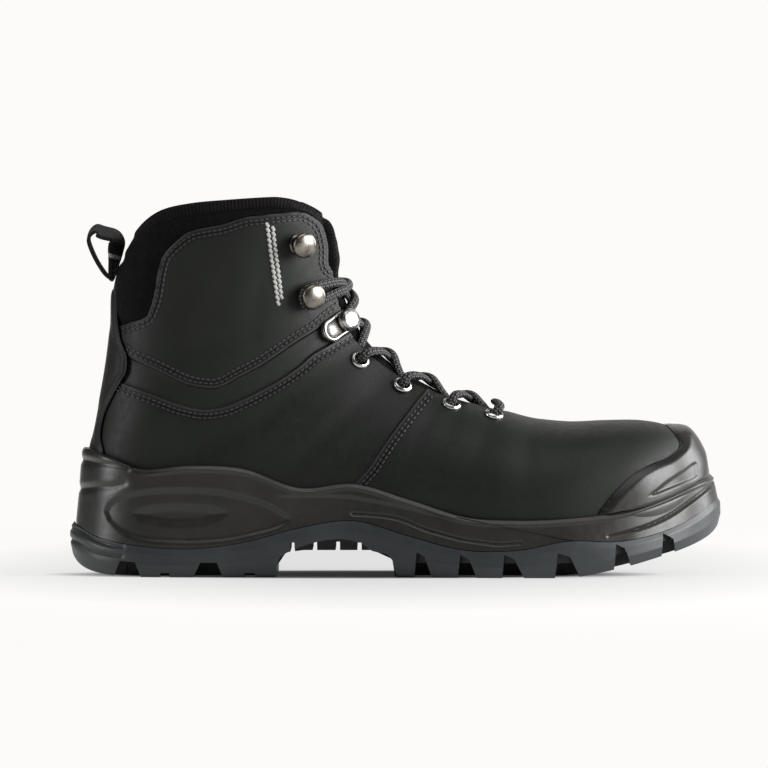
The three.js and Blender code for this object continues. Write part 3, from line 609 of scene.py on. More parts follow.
# Upper
def buildUpper():
    station, turn = skinGrid(leather["cell"])
    bare = barePoint(station, turn)
    outer = bare + skinNormal(station, turn) * leatherRelief(bare[..., 0], bare[..., 2])[..., None]
    upper = loft("upper_leather", outer)
    station, turn = skinGrid(2.4)
    inner = loft("upper_hollow", skinPoint(station, turn, np.full(station.shape, -boot["leatherWall"])))
    holes = []
    for side in (-1, 1):
        for row in eyeletRows:
            place = fittingFrame(row, side, 0)
            bore = hardware["eyeletBore"]
            holes.append(loft("hole", placed(discRings([(bore, -4), (bore, 4)], 24), place)))
    combine(upper, [inner, belowBed, aboveLeather, throatCut] + holes)
    discard(inner, *holes)
    return upper


upper = buildUpper()
print("upper built")


# Padded cuff: textile over foam, with a ribbed binding rolled over its top
cuff = {"cell": 1.0, "puff": 1.0, "sunk": 0.9, "swell": 9.0, "binding": 0.7, "foot": 0.60,
        "front": 0.388}


def cuffRings(cell, side):
    station, turn = skinGrid(cell, 12)
    bare = barePoint(station, turn)
    x, z = bare[..., 0], bare[..., 2]
    below = -lineDistance(cuffLine, x, z)
    aboveLeatherEdge = lineDistance(topLine, x, z)
    rim = ramp(lineDistance(bindingLine, x, z), -0.5, 0.6) * cuff["binding"]
    face = cuff["puff"] * ramp(aboveLeatherEdge, 0, cuff["swell"]) - cuff["sunk"] * (
        1 - ramp(aboveLeatherEdge, 0.5, cuff["swell"] * 0.7)) + rim
    back = -boot["leatherWall"] - boot["collarPad"] - rim
    middle, half = (face + back) / 2, (face - back) / 2
    lip = np.clip(1 - below / half, 0, 1)
    offset = middle + side * half * np.sqrt(1 - lip * lip)
    return bare + skinNormal(station, turn) * offset[..., None]


# The tongue's middle swells forward in the throat, between the leather's edges.
tongue = {"swellFrom": 0.56, "swellTo": 0.36, "low": -1.6, "high": 0.5}
tongueTop = smoothLine(sideOutline([
    [0.27, 1.01], [0.33, 0.997], [0.353, 0.988], [0.378, 0.968], [0.392, 0.948], [0.404, 0.92],
    [0.415, 0.866], [0.45, 0.80]]), 6)
tongueLip = smoothLine(sideOutline([[0.27, 1.01], [0.33, 0.997], [0.353, 0.988], [0.378, 0.970],
                                    [0.40, 0.95], [0.45, 0.90]]), 6)


def tongueRings(grow, across, steps):
    rows = np.array([[7.0, 14], [7.4, 20], [8, 23], [9, 25], [11, 27], [13, 28], [15, 28], [17, 28],
                     [18.2, 28], [19.4, 28], [20.5, 28], [21.4, 26]])
    rings = []
    shares = np.linspace(-1, 1, across)
    for station, half in smoothLine(rows, steps):
        padding = ramp(station, 12, 17) * (boot["collarPad"] + boot["gap"])
        edge = -boot["leatherWall"] - boot["gap"] - padding
        rise = mix(tongue["low"], tongue["high"], ramp(station, 16.8, 18.4))
        swell = max(rise - edge, 0) * ramp(np.abs(shares), tongue["swellFrom"], tongue["swellTo"])
        back = edge - boot["tongueThickness"]
        turns = turnAt(np.full(across, station), shares * (half + grow))
        bare = barePoint(np.full(across, station), turns)
        middle, full = (edge + swell + back) / 2, (edge + swell - back) / 2
        below = -lineDistance(tongueLip, bare[:, 0], bare[:, 2])
        lip = np.clip(1 - below / full, 0, 1)
        size = full * np.sqrt(np.clip(1 - shares ** 6, 0, 1)) * np.sqrt(1 - 0.98 * lip * lip) + 0.05 + grow
        outer = skinPoint(station, turns, middle + size)
        inner = skinPoint(station, turns, middle - size)
        rings.append(np.vstack([outer, inner[::-1]]))
    return np.array(rings)


def backstayShell(name, cell, grow):
    station, turn = skinGrid(cell, 11)
    bare = barePoint(station, turn)
    normal = skinNormal(station, turn)
    inside = outlineDepth(backstayEdge, bare[..., 0], bare[..., 2])
    lip = np.clip(1 - inside / backstay["roll"], 0, 1)
    top = boot["gap"] + boot["overlay"] - 0.9 * (1 - np.sqrt(1 - lip * lip)) if grow == 0 else np.full(
        station.shape, boot["gap"] + boot["overlay"] + grow)
    trough = 0.3 * np.exp(-((inside - 2.2) / 1.0) ** 2) if grow == 0 else 0
    outer = loft(name, bare + normal * (top - trough)[..., None])
    station, turn = skinGrid(2.0, 11)
    inner = loft("backstay_hollow", skinPoint(station, turn, np.full(station.shape, boot["gap"] - grow)))
    side = sidePrism("backstay_side", backstayEdge)
    combine(outer, [inner, midsoleWide, belowBed])
    combine(outer, [side], "INTERSECT")
    discard(inner, side)
    return outer


# Sole units
midsole = {"cell": 0.85, "bevel": 2.6, "rows": 46}
seamDepths = {"heel": 44, "fore": 54, "toe": 30}
heelOval = seenLine([
    [0.044, 0.164], [0.055, 0.193], [0.083, 0.212], [0.115, 0.222], [0.149, 0.226], [0.196, 0.226],
    [0.235, 0.220], [0.277, 0.204], [0.315, 0.178], [0.338, 0.146], [0.321, 0.120], [0.275, 0.099],
    [0.240, 0.087], [0.196, 0.081], [0.149, 0.082], [0.102, 0.090], [0.071, 0.112], [0.052, 0.138]],
    seamDepths["heel"], 5)
heelInner = seenLine([
    [0.089, 0.160], [0.111, 0.178], [0.149, 0.186], [0.197, 0.185], [0.228, 0.177], [0.243, 0.162],
    [0.228, 0.141], [0.197, 0.128], [0.149, 0.125], [0.108, 0.136]], seamDepths["heel"], 5)
bandLine = seenLine([
    [0.307, 0.210], [0.327, 0.210], [0.415, 0.210], [0.461, 0.199], [0.507, 0.184], [0.553, 0.165],
    [0.590, 0.152]], seamDepths["fore"])
sideGroove = seenLine([
    [0.433, 0.157], [0.476, 0.152], [0.507, 0.142], [0.538, 0.120], [0.568, 0.104], [0.599, 0.091],
    [0.630, 0.083], [0.660, 0.078], [0.691, 0.083]], seamDepths["fore"])
toeRib = seenLine([
    [0.828, 0.104], [0.852, 0.113], [0.891, 0.132], [0.925, 0.157], [0.955, 0.187], [0.984, 0.217],
    [1.0, 0.236]], seamDepths["toe"])
toeLine = seenLine([
    [0.814, 0.154], [0.839, 0.160], [0.891, 0.184], [0.937, 0.216], [0.983, 0.258], [1.0, 0.275]], 34)
heelRibs = [seenLine(rows, 20) for rows in (
    [[-0.01, 0.224], [0.036, 0.232], [0.059, 0.233], [0.080, 0.243]],
    [[-0.01, 0.303], [0.036, 0.295], [0.060, 0.291], [0.085, 0.283]])]


# How far the midsole's wall lies from its plain form, at a height on it
def midsoleRelief(x, z, height, top):
    oval = outlineDepth(heelOval, x, z)
    inner = outlineDepth(heelInner, x, z)
    relief = -boot["recessDepth"] * ramp(oval, -0.4, 2.2)
    relief -= 0.9 * ramp(inner, -0.5, 4.0)
    relief += 0.6 * np.exp(-((top - height - 1.9) / 0.8) ** 2) * ramp(x, alongX(0.10), alongX(0.17))
    relief -= 0.5 * ramp(-lineDistance(bandLine, x, z), 0, 2) * ramp(x, alongX(0.31), alongX(0.36))
    relief -= 0.9 * np.exp(-(lineDistance(sideGroove, x, z) / 0.7) ** 2)
    relief -= 0.9 * np.exp(-(lineDistance(toeRib, x, z) / 0.7) ** 2)
    relief += 0.6 * ramp(-lineDistance(toeRib, x, z), 0, 1.5) * ramp(x, alongX(0.83), alongX(0.87))
    for rib in heelRibs:
        relief -= 0.8 * np.exp(-(lineDistance(rib, x, z) / 1.6) ** 2)
    fall = np.clip(1 - (top - height) / midsole["bevel"], 0, 1)
    return relief - 1.5 * (1 - np.sqrt(1 - 0.96 * fall ** 2))


def midsoleRings(count, rows, grow, shaped):
    place = solePlaces(count)
    row = soleRow(place)
    inward = soleInward(place)
    plan = planPoint(place)
    line = row[:, sole["line"]] * boot["heelHeight"] + boot["gap"] - grow
    edge = row[:, sole["edge"]] * boot["heelHeight"] + grow
    rings = []
    upperRows = 0.85 + 0.15 * np.linspace(0, 1, rows // 2)[1:]
    for share in np.concatenate([np.linspace(0, 0.85, rows), upperRows]):
        height = mix(line, edge, share)
        tuck = row[:, sole["tuck"]] * np.interp(share, [0, 0.35, 0.7, 1], [0.5, 0.7, 0.85, 1])
        relief = midsoleRelief(plan[:, 0], height, height, edge) if shaped else 0
        moved = plan + inward * (tuck - grow - relief)[:, None]
        rings.append(np.hstack([moved, height[:, None]]))
    return np.array(rings)


def skinCutter(name, offset, cell=1.6):
    station, turn = skinGrid(cell)
    return loft(name, skinPoint(station, turn, np.full(station.shape, float(offset))))


def buildMidsole():
    block = loft("midsole_unit", midsoleRings(1000, midsole["rows"], 0, True))
    pocket = skinCutter("pocket", boot["gap"])
    underFoot = belowLine("under_foot", "bed", 0)
    combine(pocket, [underFoot])
    combine(block, [pocket])
    discard(pocket, underFoot)
    return block


midsoleWide = loft("midsole_wide", midsoleRings(500, 16, boot["gap"], False))

guard = {"cell": 0.7, "rim": 4.0, "lip": 0.7, "crown": 1.8}
guardEdge = sideOutline([
    [0.803, 0.101], [0.809, 0.168], [0.817, 0.189], [0.832, 0.221], [0.852, 0.255], [0.868, 0.277],
    [0.891, 0.298], [0.914, 0.313], [0.932, 0.335], [0.935, 0.353], [0.926, 0.379], [0.914, 0.398],
    [0.891, 0.420], [0.888, 0.506]])
guardCurve = smoothLine(guardEdge, 6)
guardSide = np.vstack([guardCurve, sideOutline([[1.05, 0.506], [1.05, 0.101]])])
guardWindow = seenLine([
    [0.883, 0.205], [0.898, 0.226], [0.912, 0.245], [0.935, 0.269], [0.955, 0.290], [0.958, 0.271],
    [0.957, 0.253], [0.938, 0.239], [0.918, 0.226], [0.900, 0.214]], 40, 4)


def buildGuard():
    station, turn = skinGrid(guard["cell"], 0, 7)
    bare = barePoint(station, turn)
    inside = -lineDistance(guardCurve, bare[..., 0], bare[..., 2])
    window = outlineDepth(guardWindow, bare[..., 0], bare[..., 2])
    lip = np.clip(1 - inside / guard["lip"], 0, 1)
    relief = -0.6 * (1 - np.sqrt(1 - lip * lip)) - 2.0 * (1 - ramp(inside, -0.3, guard["rim"]))
    relief -= boot["recessDepth"] * ramp(window, -0.3, 0.9)
    relief -= 1.0 * np.exp(-(lineDistance(toeLine, bare[..., 0], bare[..., 2]) / 0.8) ** 2)
    crown = ramp(bare[..., 2], 0.33 * boot["height"], 0.40 * boot["height"]) * ramp(inside, 0, 5)
    relief += guard["crown"] * crown
    body = loft("toe_guard_unit", bare + skinNormal(station, turn) * (boot["guard"] + relief)[..., None])
    station, turn = skinGrid(1.8, 0, 9)
    hollow = loft("guard_hollow", skinPoint(station, turn, np.full(station.shape, boot["gap"])))
    side = sidePrism("guard_side", guardSide)
    combine(body, [hollow, midsoleWide, belowBed])
    combine(body, [side], "INTERSECT")
    discard(hollow, side)
    # Painted shade: a dark band along the guard's edge against the leather, kept as an attribute that darkens
    # the moulding's colour
    points = ownPoints(body)
    inside = -lineDistance(guardCurve, points[:, 0], points[:, 2])
    setValues(body, "paintedShadeDepth", 0.85 * (1 - ramp(inside, 0.8, 4.2)))
    return body


backstay = {"roll": 1.0}
backstayEdge = np.vstack([smoothLine(sideOutline([
    [-0.1, 0.765], [0.055, 0.765], [0.069, 0.765], [0.075, 0.663], [0.080, 0.618], [0.089, 0.578],
    [0.088, 0.539], [0.080, 0.513], [0.065, 0.467], [0.053, 0.420], [0.048, 0.366], [0.053, 0.322],
    [0.056, 0.202]])[1:], 5), sideOutline([[-0.1, 0.202], [-0.1, 0.765]])])


def buildCuff():
    outer = loft("collar_cuff", cuffRings(cuff["cell"], 1))
    inner = loft("cuff_inside", cuffRings(1.3, -1))
    station, turn = skinGrid(1.6, 11)
    lining = loft("cuff_lining", skinPoint(station, turn, np.full(
        station.shape, -boot["leatherWall"] - boot["gap"])))
    front = sidePrism("cuff_front", sideOutline([[-0.2, -0.4], [cuff["front"], -0.4],
                                                 [cuff["front"], 1.4], [-0.2, 1.4]]))
    edge = aboveLine("above_edge", topLine, boot["gap"])
    foot = sidePrism("below_cuff", sideOutline([[-0.2, -0.4], [1.2, -0.4], [1.2, cuff["foot"]],
                                                [-0.2, cuff["foot"]]]))
    tongueSpace = loft("tongue_space", tongueRings(boot["gap"], 15, 3))
    stay = backstayShell("backstay_space", 1.6, boot["gap"])
    combine(outer, [edge], "INTERSECT")
    combine(outer, [front], "INTERSECT")
    combine(outer, [lining], "UNION")
    combine(outer, [inner, aboveCuff, foot, throatWide, tongueSpace, stay])
    discard(inner, lining, front, edge, foot, tongueSpace, stay)
    return outer


def buildTongue():
    body = loft("tongue_pad", tongueRings(0, 61, 8))
    under = skinCutter("tongue_limit", -boot["leatherWall"] - boot["gap"], 1.2)
    window = throatBody("tongue_window", -boot["gap"])
    combine(under, [window], "UNION")
    combine(body, [under], "INTERSECT")
    above = aboveLine("above_tongue", tongueTop)
    combine(body, [above])
    discard(under, window, above)
    return body


def buildInsole():
    body = skinCutter("insole_board", -boot["leatherWall"] - boot["gap"], 1.2)
    top = belowLine("insole_top", "bed", boot["gap"] + boot["insoleThickness"])
    combine(body, [top], "INTERSECT")
    combine(body, [belowBed])
    discard(top)
    return body


webbing = {"width": 18, "thickness": 1.8}
# Rows of the loop: how far behind the cuff, height, and how far its near edge leans into the loop
loopRows = [[1.7, 0.781, 1.0], [1.3, 0.814, 3.0], [0.9, 0.851, 5.5], [1.2, 0.882, 6.0], [5.2, 0.907, 5.0],
            [11.8, 0.918, 5.0], [15.6, 0.923, 4.0], [18.0, 0.910, 2.0], [18.2, 0.890, 0.5],
            [16.2, 0.868, 0.0], [11.9, 0.833, 0.0], [6.6, 0.801, 0.0], [3.4, 0.786, 0.2]]


def backX(rise):
    station = np.arange(14, 22, 0.05)
    heights = levelHeight(curveThrough(skinRows, station)[:, 1], boot["heelHeight"])
    found = station[np.searchsorted(heights, rise * boot["height"])]
    return skinPoint(np.array([found]), 0.0, np.array([boot["collarPuff"]]))[0, 0]


def buildLoop():
    middle = np.array([[backX(rise) - out, rise * boot["height"], lean] for out, rise, lean in loopRows])
    closed = np.vstack([middle[-2:], middle, middle[:3]])
    fine = curveThrough(closed, np.linspace(2, len(middle) + 2, len(middle) * 10, endpoint=False))
    along = unit((np.roll(fine, -1, axis=0) - np.roll(fine, 1, axis=0))[:, :2])
    normal = np.stack([along[:, 1], -along[:, 0]], 1)
    half, thick = webbing["width"] / 2, webbing["thickness"] / 2
    section = [(-half, 0.55), (-half + 0.35, 1), *[(share * half, 1) for share in
               (-0.9, -0.7, -0.45, -0.2, 0.2, 0.45, 0.7, 0.9)], (half - 0.35, 1), (half, 0.55)]
    section += [(across, -out) for across, out in reversed(section)]
    inward = np.sign(np.sum(normal * (fine[:, :2].mean(axis=0) - fine[:, :2]))) * normal
    rings = np.array([[[x + nx * out * thick + ix * lean * (half - across) / webbing["width"], across,
                        z + nz * out * thick + iz * lean * (half - across) / webbing["width"]]
                       for across, out in section]
                      for (x, z, lean), (nx, nz), (ix, iz) in zip(fine, normal, inward)])
    piece = meshObject("pull_loop_web", rings.reshape(-1, 3), ringFaces(len(rings), len(section)))
    length = lengthAlong(fine[:, :2])
    setValues(piece, "run", np.repeat(length, len(section)))
    return piece


# Outsole with its lugs
outsole = {"lugSlope": 0.006, "middleHalf": 0.16, "channel": 0.045, "wall": 4, "archSide": 0.25,
           "archNotches": [[0.340, 0.346], [0.374, 0.380], [0.409, 0.415], [0.442, 0.448]]}
# Cuts: from, to, depth, how far the wall's cut climbs, and how much the near and far sides spread
sideCuts = [[0.080, 0.103, 7, 0, 0.010, 0.009], [0.142, 0.156, 2, 0, 0, 0],
            [0.203, 0.228, 7, 0, 0.011, 0.009], [0.270, 0.286, 2, 0, 0, 0],
            [0.532, 0.547, 7, 12, 0.003, 0.008], [0.598, 0.614, 7, 11, 0.003, 0.009],
            [0.665, 0.683, 7, 11, 0.003, 0.012], [0.746, 0.768, 7, 12, 0.004, 0.012],
            [0.835, 0.851, 7, 12, 0.004, 0.010], [0.907, 0.923, 7, 11, 0.003, 0.006]]
middleCuts = [[0.160, 0.180], [0.245, 0.265], [0.575, 0.59], [0.632, 0.65], [0.706, 0.724],
              [0.79, 0.808], [0.868, 0.886]]
archCut = smoothLine(sideOutline([
    [0.314, -0.25], [0.317, -0.1], [0.320, 0.03], [0.333, 0.063], [0.37, 0.088], [0.40, 0.099],
    [0.425, 0.099], [0.448, 0.088], [0.465, 0.069], [0.495, 0.045], [0.508, -0.1], [0.511, -0.25]]), 4)
archFloor = sideOutline([[0.317, -0.1], [0.320, 0.03], [0.333, 0.063], [0.36, 0.069], [0.465, 0.069],
                         [0.495, 0.045], [0.508, -0.1]])
heelSteps = [seenLine(rows, 24) for rows in (
    [[-0.02, 0.129], [0.010, 0.113], [0.031, 0.096], [0.046, 0.085], [0.066, 0.077], [0.080, 0.075]],
    [[-0.02, 0.099], [0.010, 0.084], [0.028, 0.067], [0.046, 0.058], [0.065, 0.053], [0.080, 0.051]])]


def treadHeight(along):
    return np.maximum(np.interp(along, soleRows[:, 0], soleRows[:, 3]), 0) * boot["heelHeight"]


def floorCut(start, end, near, far, depth=None, spread=None):
    depth = boot["treadDepth"] if depth is None else depth
    left, right = spread or (outsole["lugSlope"] / 2, outsole["lugSlope"] / 2)
    outline = [[alongX(start - 2 * left), -depth], [alongX(end + 2 * right), -depth],
               [alongX(end), treadHeight(end) + depth], [alongX(start), treadHeight(start) + depth]]
    return sidePrism("lug_cut", outline, near * boot["ballWidth"], far * boot["ballWidth"])


# The outer wall of the outsole, as deep as the lug cuts climb in it
def wallShell():
    place = solePlaces(400)
    plan, inward = planPoint(place), soleInward(place)

    def box(inset, low, high):
        return [np.hstack([plan + inward * inset, np.full((len(plan), 1), height)])
                for height in (low, high)]

    outside = loft("sole_wall", np.array(box(-outsole["wall"], -7.0, boot["heelHeight"])))
    inside = loft("sole_core", np.array(box(outsole["wall"], -14.0, 2 * boot["heelHeight"])))
    combine(outside, [inside])
    discard(inside)
    return outside


def buildOutsole():
    place = solePlaces(1100)
    row = soleRow(place)
    inward = soleInward(place)
    plan = planPoint(place)
    ground = np.maximum(row[:, sole["tread"]], 0) * boot["heelHeight"]
    line = row[:, sole["line"]] * boot["heelHeight"]
    rings = []
    for share in np.concatenate([[0, 0.02, 0.05], np.linspace(0.1, 1, 30)]):
        height = mix(ground, line, share)
        inset = np.interp(share, [0, 0.02, 0.05, 0.4, 0.8, 1], [1.9, 1.4, 1.1, 0, 0.2, 0.4])
        toLeather = (row[:, sole["tuck"]] * 0.4 - 0.4) * (share - 0.8) / 0.2
        inset = np.where(share < 0.8, inset, inset + toLeather)
        for step in heelSteps:
            inset = inset + 0.9 * np.exp(-(lineDistance(step, plan[:, 0], height) / 0.9) ** 2)
        rings.append(np.hstack([plan + inward * inset[:, None], height[:, None]]))
    body = loft("outsole_unit", np.array(rings))
    middle = outsole["middleHalf"]
    cuts = []
    wall = wallShell()
    for start, end, depth, climb, left, right in sideCuts:
        cuts += [floorCut(start, end, middle, 1, depth, (left, right)),
                 floorCut(start, end, -1, -middle, depth, (left, right))]
        if climb:
            peak = float(treadHeight(start)) + climb
            wedge = sidePrism("wall_cut", [
                [alongX(start - 2 * left), -boot["treadDepth"]],
                [alongX(end + 2 * right), -boot["treadDepth"]],
                [alongX(end - 0.003), peak - 2], [alongX(start), peak]])
            combine(wedge, [wall], "INTERSECT")
            cuts.append(wedge)
    cuts += [floorCut(start, end, -middle, middle) for start, end in middleCuts]
    for start, end in ((0.09, 0.31), (0.525, 0.90)):
        for side in (-1, 1):
            ends = sorted([side * middle, side * (middle - outsole["channel"])])
            cuts.append(floorCut(start, end, *ends))
    cuts.append(sidePrism("arch_floor", archFloor))
    cuts += [sidePrism("arch_notch", [[alongX(start - 0.002), -5], [alongX(end + 0.002), -5],
                                      [alongX(end), 16.5], [alongX(start), 16.5]])
             for start, end in outsole["archNotches"]]
    cuts.append(sidePrism("arch_cut", archCut, -boot["ballWidth"],
                          -outsole["archSide"] * boot["ballWidth"]))
    for cut in cuts:
        combine(body, [cut])
    discard(wall, *cuts)
    # Painted shade: the outsole darkens inside its outline and below the top of the arch, kept in the same
    # attribute as the guard's
    points = ownPoints(body)
    paintedShadeDepth = outlineDepth(planPoint(solePlaces(400)), points[:, 0], points[:, 1])
    setValues(body, "paintedShadeDepth", ramp(paintedShadeDepth, 2.6, 5.5) * (1 - ramp(points[:, 2], 16, 19)))
    return body


# Fittings, each turned about its own axis and stood on the leather
def turned(name, profile, place, sides=40, ring=False):
    rings = placed(discRings(profile, sides), place)
    if ring:
        return meshObject(name, rings.reshape(-1, 3), ringFaces(len(profile), sides))
    return loft(name, rings)


def buildEyelet(name, row, side):
    bore, wide, high = (hardware[key] for key in ("eyeletBore", "eyeletRadius", "eyeletHeight"))
    profile = [(wide, -0.35), (wide, 0.25), (wide - 0.3, 0.7), (wide - 0.9, high), (bore + 0.75, high + 0.12),
               (bore + 0.25, high - 0.15), (bore, 0.4), (bore, -2.4), (bore + 0.35, -2.4), (bore + 0.4, -0.35)]
    return turned(name, profile[::-1], fittingFrame(row, side, hardware["lift"] - 0.3), ring=True)


def buildHook(name, row, side):
    foot, post, cap, top = (hardware["hookPost"] * 1.8, hardware["hookPost"], hardware["hookRadius"],
                            hardware["hookHeight"])
    plate = hardware["plate"]
    profile = [(0.01, -0.4), (foot, -0.4), (foot + 0.25, plate * 0.5), (foot - 0.2, plate),
               (post + 0.5, plate + 0.2), (post, plate + 0.8), (post, top - 3.4), (cap - 0.9, top - 3.2),
               (cap - 0.2, top - 2.9), (cap, top - 2.3), (cap - 0.12, top - 1.75)]
    dome = [(cap * math.cos(a) * 0.98, top - 1.75 + 2.0 * math.sin(a))
            for a in np.radians([8, 18, 30, 42, 54, 66, 78, 88])]
    return turned(name, profile + dome, fittingFrame(row, side, hardware["lift"] - 0.2))


def buildLockBase(name, side):
    half = (hardware["lockLength"] - hardware["lockWidth"]) / 2
    radius = hardware["lockWidth"] / 2
    place = fittingFrame(lockRow, side, hardware["lift"])
    turn = np.linspace(0, 2 * np.pi, 72, endpoint=False)
    rings = []
    profile = [(0, -2.6), (0, 0.7), (0.25, 1.15), (0.7, 1.4), (1.4, 1.4), (1.9, 1.0), (2.2, 0.75)]
    for inset, height in profile:
        reach = radius - inset
        x = np.cos(turn) * reach + np.where(np.cos(turn) >= 0, half, -half)
        rings.append(np.stack([x, np.sin(turn) * reach, np.full(len(turn), height)], 1))
    plate = loft(name, placed(np.array(rings), place))
    under = skinCutter("lock_under", boot["gap"] + 0.02, 1.4)
    combine(plate, [under])
    discard(under)
    return plate


def buildLockCam(name, side):
    place = list(fittingFrame(lockRow, side, hardware["lift"] + hardware["plate"] + boot["gap"]))
    place[0] = place[0] - place[1] * (hardware["lockLength"] - hardware["lockWidth"]) / 2
    wide, high = hardware["camRadius"], hardware["camThickness"]
    profile = [(0.01, 0), (wide - 0.5, 0), (wide, 0.5), (wide, high * 0.6), (wide - 0.35, high * 0.85),
               (wide - 1.1, high), (wide - 1.7, high - 0.25), (wide - 2.2, high - 0.45), (0.8, high - 0.35),
               (0.01, high - 0.3)]
    return turned(name, profile, place)


# Lace: flat braid over the throat. Points are station, distance from the shin and height.
lace = {"width": 4.4, "flat": 0.7, "step": 0.7, "sides": 16, "overTongue": 0.2, "crossing": 2.5,
        "overEdge": 3.3}


def laceTube(path):
    fine = smoothLine(path, 12)
    line = skinAt(fine[:, 0], fine[:, 1], fine[:, 2])
    lifted = skinAt(fine[:, 0], fine[:, 1], fine[:, 2] + 1)
    length = lengthAlong(line)
    steps = np.linspace(0, length[-1], max(int(length[-1] / lace["step"]), 4))
    line, upward = (np.stack([np.interp(steps, length, part[:, axis]) for axis in range(3)], 1)
                    for part in (line, lifted - line))
    tangent = unit(np.gradient(line, axis=0))
    across = unit(np.cross(tangent, upward))
    for _ in range(4):
        across = unit(np.vstack([across[:1], across[:-2] + 2 * across[1:-1] + across[2:], across[-1:]]))
    across = unit(across - tangent * np.sum(across * tangent, axis=1, keepdims=True))
    up = np.cross(across, tangent)
    turn = np.arange(lace["sides"]) / lace["sides"] * 2 * np.pi
    radius = lace["width"] / 2
    rings = line[:, None] + radius * (np.cos(turn)[:, None] * across[:, None]
                                      + np.sin(turn)[:, None] * up[:, None] * lace["flat"])
    return rings, steps, turn


def buildLace():
    lift = hardware["lift"]
    radius = lace["width"] / 2 * lace["flat"]
    over = lift + hardware["eyeletHeight"] + boot["gap"] + radius
    overPlate = lift + hardware["plate"] + 2.5 * boot["gap"] + radius
    rows = eyeletRows
    paths = []
    low, edge, middle = rows[-1], lace["overEdge"], lace["overTongue"]
    bar = [(low[0], -low[1], -3.5), (low[0], -low[1] + 0.4, 0.5), (low[0] - 0.1, -low[1] + 2.6, over + 0.3),
           (low[0] - 0.05, -low[1] * 0.55, edge + 0.4), (low[0], 0, middle + 2.2)]
    paths.append(bar + [(station, -distance, height) for station, distance, height in bar[-2::-1]])
    for side in (-1, 1):
        bridge = middle + (lace["crossing"] if side > 0 else 0)
        for index in range(len(rows) - 1):
            high, low = rows[index], rows[index + 1]
            end = [low[0], low[1] * 0.62]
            paths.append([
                (high[0], side * (high[1] - 0.8), -3.5), (high[0], side * (high[1] - 1.2), 0.6),
                (high[0] - 0.04, side * (high[1] - 3.6), over + 0.1),
                (mix(high[0], end[0], 0.2), side * high[1] * 0.56, edge),
                (mix(high[0], end[0], 0.5), side * high[1] * 0.05, bridge),
                (mix(high[0], end[0], 0.72), -side * end[1] * 0.50, middle + 0.3),
                (end[0] + 0.16, -side * end[1] * 0.86, -1.4), (end[0] + 0.02, -side * low[1] * 0.8, -3.4)])
        top, hook = rows[0], hookRows[1]
        bend = hardware["hookPost"] + lace["width"] * 0.36
        ends = skinAt(np.array([hook[0] - 0.5, hook[0] + 0.5]), side * hook[1])
        across = bend / np.linalg.norm(ends[1] - ends[0])
        lock = lockRow
        begin, finish = lock[0] + 0.3, hook[0] - across
        shin = [[0.30, -4.0, bridge + 0.6], [0.68, 5.0, bridge], [0.93, 14.4, edge], [0.99, 24.6, over]]
        path = [(lock[0] + 0.15, -side * 14, -3.4), (begin, -side * 11, -0.6)]
        path += [(mix(begin, finish, rise), side * reach, height) for rise, reach, height in shin]
        path += [(hook[0] + across * math.sin(angle), side * (hook[1] + bend * math.cos(angle)), overPlate)
                 for angle in np.radians([-90, -45, 0, 45, 90])]
        leave = hook[0] + across
        path += [(leave - 0.3, side * hook[1] * 0.55, edge), (leave - 0.85, side * 3, bridge + 0.3),
                 (leave - 1.1, -side * 8, middle + 0.2), (leave - 1.2, -side * 13, -1.6)]
        paths.append(path)
        paths.append([
            (top[0] + 0.4, -side * 14, -3.4), (top[0] + 0.55, -side * 11, -0.6),
            (mix(top[0], lock[0], 0.55), 0, bridge + 0.4), (lock[0] - 0.45, side * 9, middle + 1.6),
            (lock[0] - 0.35, side * 14, edge + 0.4), (lock[0] - 0.2, side * 18, over)])
    points, faces, run, around = [], [], [], []
    for path in paths:
        rings, steps, turn = laceTube(np.array(path, float))
        base = sum(len(part) for part in points)
        total, count = rings.shape[:2]
        points.append(rings.reshape(-1, 3))
        faces += tubeFaces(base, total, count)
        run.append(np.repeat(steps, count))
        around.append(np.tile(turn, total))
    piece = meshObject("lace_braid", np.vstack(points), faces)
    setValues(piece, "run", np.concatenate(run))
    setValues(piece, "around", np.concatenate(around))
    return piece


# Stitches: short rounds of thread laid along a seam and pressed into what they hold
thread = {"length": 2.1, "pitch": 2.55, "radius": 0.5, "sides": 6, "sink": 0.12, "lean": 0}
chain = {"length": 3.0, "pitch": 2.5, "radius": 0.85, "sides": 6, "sink": 0.1, "lean": 24}


def treeOf(piece):
    points = ownPoints(piece)
    faces = [tuple(face.vertices) for face in piece.data.polygons]
    return BVHTree.FromPolygons([Vector(point) for point in points], faces)


def stitchShape(kind):
    half, radius = kind["length"] / 2, kind["radius"]
    turn = np.arange(kind["sides"]) / kind["sides"] * 2 * np.pi
    rings = []
    for along, share in ((-1.0, 0.35), (-0.8, 0.85), (-0.3, 1.0), (0.3, 1.0), (0.8, 0.85), (1.0, 0.35)):
        rings.append(np.stack([np.full(len(turn), along * half), np.cos(turn) * radius * share,
                               np.sin(turn) * radius * share - (abs(along) > 0.9) * radius * 0.5], 1))
    return np.array(rings)


